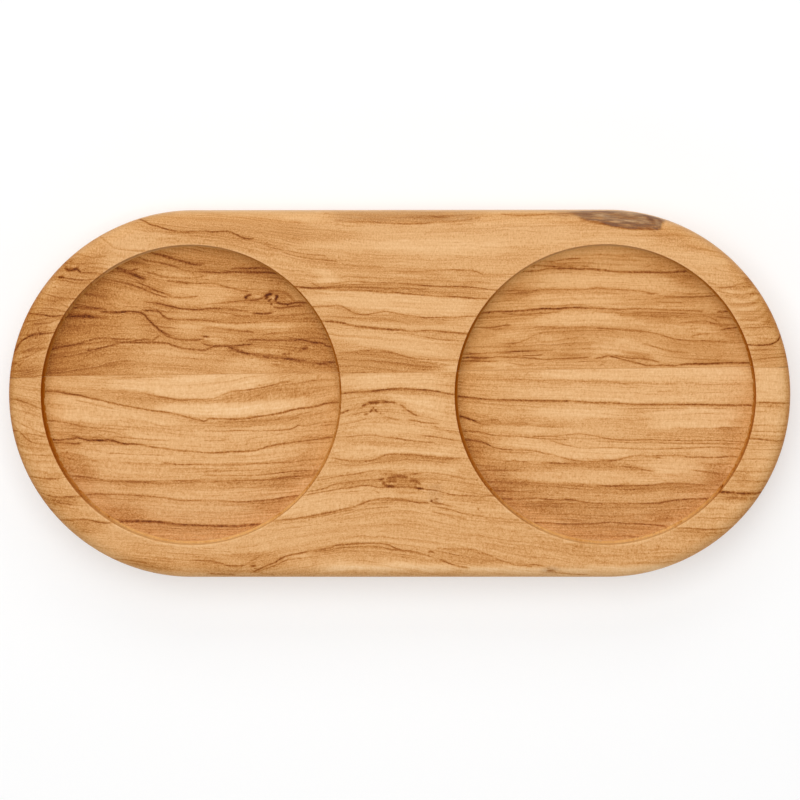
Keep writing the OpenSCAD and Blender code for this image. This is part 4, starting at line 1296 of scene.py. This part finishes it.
def wood(name, lift, seed):
    m = Net(name)
    grain = m.attr("grain").outputs["Vector"]
    tone = m.split(m.attr("tone").outputs["Vector"])
    u, v, w = m.split(grain)

    def around(n, k):
        return m.math("MULTIPLY", m.math("SUBTRACT", n, 0.5), k)

    # growth lines wander a little on their own
    drift = m.noise(m.join(m.math("MULTIPLY", u, 0.055), m.math("MULTIPLY", v, 0.30), w), 1.0, 3.0, 0.55)
    wave = m.noise(m.join(m.math("MULTIPLY", u, 0.30), m.math("MULTIPLY", v, 0.70), w), 1.0, 2.0, 0.5)
    v2 = m.math("ADD", v, m.math("ADD", around(drift, 1.6), around(wave, 0.55)))

    def at(fu, fv, extra=0.0):
        return m.join(m.math("MULTIPLY", u, fu), m.math("MULTIPLY", v2, fv), m.math("ADD", w, seed + extra))

    broad = m.noise(at(0.010, 0.17), 1.0, 3.0, 0.55)
    streak = m.noise(at(0.015, 0.80, 2.0), 1.0, 4.0, 0.62)
    fibre = m.noise(at(0.042, 2.3, 4.0), 1.0, 3.0, 0.6)
    hair = m.noise(at(0.17, 5.2, 6.0), 1.0, 2.0, 0.5)
    speck = m.noise(at(3.2, 4.2, 5.0), 1.0, 2.0, 0.6)

    # growth rings: a sharp dark edge that fades out in front of it
    phase = m.math("ADD", m.math("MULTIPLY", v2, -0.46), m.math("MULTIPLY", m.noise(at(0.012, 0.10, 12.0), 1.0, 2.0, 0.5), 5.0))
    saw = m.math("FRACT", phase)
    fall = m.math("POWER", m.math("SUBTRACT", 1.0, saw), 3.0)
    ring_in = m.span(m.noise(at(0.022, 0.55, 14.0), 1.0, 2.0, 0.5), 0.40, 0.66, 0.0, 1.0, True)
    ring = m.math("MULTIPLY", fall, ring_in)

    phase = m.math("ADD", m.math("MULTIPLY", v2, -1.55), m.math("MULTIPLY", m.noise(at(0.03, 0.30, 24.0), 1.0, 2.0, 0.5), 4.0))
    line = m.math("POWER", m.math("SUBTRACT", 1.0, m.math("FRACT", phase)), 2.0)
    line_in = m.span(m.noise(at(0.045, 1.1, 26.0), 1.0, 2.0, 0.5), 0.42, 0.64, 0.0, 1.0, True)
    line = m.math("MULTIPLY", line, line_in)

    soft = m.math("ADD", 0.655 + lift, tone[0])
    soft = m.math("ADD", soft, around(broad, 0.12))
    soft = m.math("ADD", soft, around(streak, 0.165))
    soft = m.math("SUBTRACT", soft, m.math("MULTIPLY", ring, 0.09))
    # End grain darkens the tone; on the well walls this is also painted shade.
    soft = m.math("SUBTRACT", soft, m.math("MULTIPLY", tone[2], 0.24))

    # darker wood is more open: its pores stand closer
    open_ = m.span(soft, 0.40, 0.80, 1.0, 0.42, True)
    pore = m.span(m.noise(at(1.25, 3.8, 22.0), 1.0, 2.0, 0.55), 0.59, 0.71, 0.0, 1.0, True)
    pore = m.math("MULTIPLY", pore, open_)

    # drawn veins: rows of dark pores, ragged at their edges and broken along their length
    rag = m.noise(at(0.80, 2.6, 16.0), 1.0, 4.0, 0.7)
    bead = m.span(m.noise(at(1.5, 2.0, 18.0), 1.0, 2.0, 0.6), 0.34, 0.64, 0.50, 1.30)
    beat = m.span(m.noise(at(0.14, 0.8, 20.0), 1.0, 2.0, 0.6), 0.32, 0.66, 0.55, 1.12)
    dark, halo, extra = None, None, []
    for key in ("vein_a", "vein_b", "vein_c"):
        q, amp, more = m.split(m.attr(key).outputs["Vector"])
        extra.append(more)
        qq = m.math("ADD", m.math("MULTIPLY", q, 1.25), around(rag, 2.4))
        core = m.math("EXPONENT", m.math("MULTIPLY", m.math("MULTIPLY", qq, qq), -1.0))
        glow = m.math("EXPONENT", m.math("MULTIPLY", m.math("ABSOLUTE", qq), -0.7))
        core = m.math("MULTIPLY", core, amp)
        glow = m.math("MULTIPLY", glow, amp)
        dark = core if dark is None else m.math("MAXIMUM", dark, core)
        halo = glow if halo is None else m.math("MAXIMUM", halo, glow)
    dark = m.math("MULTIPLY", dark, m.math("MULTIPLY", bead, beat))

    t = m.math("ADD", soft, around(fibre, 0.24))
    t = m.math("ADD", t, around(hair, 0.27))
    t = m.math("ADD", t, m.math("MULTIPLY", m.math("MULTIPLY", around(speck, 0.80), open_), extra[0]))
    ray = m.noise(at(3.3, 1.5, 30.0), 1.0, 1.0, 0.5)
    t = m.math("ADD", t, m.math("MULTIPLY", around(ray, 0.34), m.span(soft, 0.45, 0.75, 0.35, 1.0, True)))
    t = m.math("SUBTRACT", t, m.math("MULTIPLY", m.math("MULTIPLY", line, open_), 0.24))
    t = m.math("SUBTRACT", t, m.math("MULTIPLY", pore, 0.20))
    t = m.math("SUBTRACT", t, m.math("MULTIPLY", halo, 0.12))
    t = m.math("SUBTRACT", t, m.math("MULTIPLY", dark, 0.60))
    colour = m.ramp(m.span(t, -0.30, 1.0), [
        (0.00, under(92, 44, 14)), (0.12, under(110, 56, 20)), (0.23, under(132, 70, 27)), (0.34, under(155, 92, 43)),
        (0.446, under(175, 113, 56)), (0.554, under(195, 135, 75)), (0.662, under(212, 156, 98)),
        (0.77, under(226, 175, 120)), (0.885, under(236, 190, 138)), (1.00, under(243, 203, 156))])

    # Painted warm light in shade: a golden tint on the well walls, the outer edge and the floors near the walls.
    colour = m.mix(extra[1], colour, (1.0, 0.95, 0.62, 1.0), "MULTIPLY")

    # end grain takes up more oil: deeper and redder; on the well walls the same mix is also painted shade
    colour = m.mix(m.math("MULTIPLY", tone[2], 0.95), colour, under(172, 93, 4))

    # grey-brown stain with paler streaks; near the front walls of the well floors the same colour is painted shade
    stain_and_front_shade = m.math("MULTIPLY", tone[1], m.span(m.noise(at(0.30, 4.2, 34.0), 1.0, 3.0, 0.6), 0.36, 0.66, 1.25, 0.40), clamp=True)
    colour = m.mix(m.math("MULTIPLY", stain_and_front_shade, 0.85), colour, under(122, 90, 71))

    m.put(m.bsdf.inputs["Base Color"], colour)
    rough = m.math("ADD", m.span(streak, 0.3, 0.7, 0.52, 0.42), m.math("MULTIPLY", pore, 0.12))
    m.put(m.bsdf.inputs["Roughness"], rough)
    # raw end grain has no sheen
    m.put(m.bsdf.inputs["Specular IOR Level"], m.span(tone[2], 0.0, 0.6, 0.07, 0.0))
    height = m.math("ADD", m.math("MULTIPLY", fibre, 0.6), m.math("MULTIPLY", hair, 0.5))
    height = m.math("SUBTRACT", height, m.math("MULTIPLY", pore, 0.6))
    height = m.math("SUBTRACT", height, m.math("MULTIPLY", dark, 0.3))
    m.put(m.bsdf.inputs["Normal"], m.bump(height, 0.35, 0.00006))
    return m.mat


def glue_film():
    m = Net("glue_film")
    co = m.t.nodes.new("ShaderNodeTexCoord").outputs["Object"]
    x, y, z = m.split(co)
    p = m.join(m.math("MULTIPLY", x, 220.0), m.math("MULTIPLY", y, 220.0), m.math("MULTIPLY", z, 220.0))
    n1 = m.noise(p, 1.0, 3.0, 0.6)
    n2 = m.noise(p, 7.0, 2.0, 0.5)
    colour = m.ramp(m.math("ADD", m.math("MULTIPLY", n1, 0.7), m.math("MULTIPLY", n2, 0.3)), [
        (0.25, lin(180, 122, 66)), (0.5, lin(202, 146, 88)), (0.75, lin(216, 162, 104))])
    # Painted shade: the glue line is darker where it runs down the well walls, like them.
    wall = m.math("MULTIPLY", m.span(z, 0.01145, 0.0118, 0.0, 0.8), m.span(z, 0.0160, 0.01635, 1.0, 0.0))
    colour = m.mix(wall, colour, lin(128, 70, 22))
    m.put(m.bsdf.inputs["Base Color"], colour)
    m.put(m.bsdf.inputs["Roughness"], m.span(n2, 0.3, 0.7, 0.35, 0.55))
    m.bsdf.inputs["Specular IOR Level"].default_value = 0.05
    m.put(m.bsdf.inputs["Normal"], m.bump(n2, 0.3, 0.00005))
    return m.mat


def rubber():
    m = Net("moulded_rubber")
    co = m.t.nodes.new("ShaderNodeTexCoord").outputs["Object"]
    n1 = m.noise(co, 900.0, 4.0, 0.6)
    n2 = m.noise(co, 5200.0, 2.0, 0.5)
    n3 = m.noise(co, 160.0, 2.0, 0.5)
    dust = m.span(n1, 0.5, 0.8, 0.0, 1.0, True)
    colour = m.mix(n3, lin(38, 37, 36), lin(54, 52, 50))
    colour = m.mix(m.math("MULTIPLY", dust, 0.25), colour, lin(112, 107, 100))
    m.put(m.bsdf.inputs["Base Color"], colour)
    m.put(m.bsdf.inputs["Roughness"], m.span(n1, 0.3, 0.7, 0.62, 0.82))
    m.bsdf.inputs["Specular IOR Level"].default_value = 0.3
    m.put(m.bsdf.inputs["Normal"], m.bump(m.math("ADD", n2, m.math("MULTIPLY", n1, 0.5)), 0.5, 0.00008))
    return m.mat


def adhesive():
    m = Net("adhesive_film")
    co = m.t.nodes.new("ShaderNodeTexCoord").outputs["Object"]
    n1 = m.noise(co, 420.0, 3.0, 0.6)
    n2 = m.noise(co, 2600.0, 2.0, 0.5)
    colour = m.mix(n1, lin(196, 188, 168), lin(222, 216, 200))
    m.put(m.bsdf.inputs["Base Color"], colour)
    m.put(m.bsdf.inputs["Roughness"], m.span(n2, 0.3, 0.7, 0.35, 0.6))
    m.bsdf.inputs["Specular IOR Level"].default_value = 0.45
    m.put(m.bsdf.inputs["Normal"], m.bump(n2, 0.3, 0.00005))
    return m.mat


def clad(ob, mat):
    ob.data.materials.clear()
    ob.data.materials.append(mat)


for which, side, node, slot, lift in (("back", 1, "back_stave", "back_wood", 0.0), ("front", -1, "front_stave", "front_wood", 0.0)):
    ob, co = stave(f"{which}_stave_wood", side)
    dress(ob, co, which)
    clad(ob, wood(f"figured_wood_{which}", lift, 0.0 if which == "back" else 40.0))
    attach(ob, "root")
    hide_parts(node)

clad(nodes["glue_line"], glue_film())
black, film = rubber(), adhesive()
for key in ("front_left", "front_right", "back_left", "back_right"):
    clad(nodes["foot_" + key], black)
    clad(nodes["foot_tape_" + key], film)

# ---------------------------------------------------------------- floor, light, camera
bpy.ops.mesh.primitive_plane_add(size=6.0, location=(0, 0, -0.00003))
floor = bpy.context.active_object
floor.name = "studio_floor"
white = Net("studio_white")
white.bsdf.inputs["Base Color"].default_value = (0.55, 0.55, 0.55, 1.0)
white.bsdf.inputs["Emission Color"].default_value = (1.0, 1.0, 1.0, 1.0)
white.bsdf.inputs["Emission Strength"].default_value = 0.44
white.bsdf.inputs["Roughness"].default_value = 0.9
white.bsdf.inputs["Specular IOR Level"].default_value = 0.0
clad(floor, white.mat)

world = bpy.data.worlds.new("studio")
world.use_nodes = True
world.node_tree.nodes["Background"].inputs[0].default_value = (1.0, 1.0, 1.0, 1.0)
world.node_tree.nodes["Background"].inputs[1].default_value = 0.16
scene.world = world


def softbox(name, at, size, watts, target=(0.0, 0.0, 0.012)):
    data = bpy.data.lights.new(name, "AREA")
    data.shape, data.size, data.size_y = "RECTANGLE", size[0], size[1]
    data.energy = watts
    ob = bpy.data.objects.new(name, data)
    scene.collection.objects.link(ob)
    ob.location = at
    ob.rotation_euler = (Vector(target) - Vector(at)).to_track_quat("-Z", "Y").to_euler()
    ob.visible_camera = False
    return ob


softbox("overhead", (-0.08, 0.22, 1.29), (1.1, 1.0), 13.0)
softbox("back", (-0.05, 0.95, 0.75), (1.2, 0.5), 3.8)
softbox("front", (0.0, -0.95, 0.55), (1.2, 0.30), 1.2)
softbox("left", (-1.05, 0.0, 0.62), (0.5, 1.0), 0.9)
softbox("right", (1.05, 0.1, 0.66), (0.5, 1.0), 1.1)

cam = bpy.data.cameras.new("camera")
cam.lens, cam.sensor_width, cam.sensor_fit = FOCAL, SENSOR, "AUTO"
cam.clip_start, cam.clip_end = 0.05, 20.0
cam_ob = bpy.data.objects.new("camera", cam)
scene.collection.objects.link(cam_ob)
cam_ob.matrix_world = Matrix((
    (RIGHT[0], UPWARD[0], -LOOK[0], EYE[0] * 0.001),
    (RIGHT[1], UPWARD[1], -LOOK[1], EYE[1] * 0.001),
    (RIGHT[2], UPWARD[2], -LOOK[2], EYE[2] * 0.001),
    (0.0, 0.0, 0.0, 1.0)))
scene.camera = cam_ob
scene.view_settings.view_transform = "Standard"
scene.view_settings.look = "None"
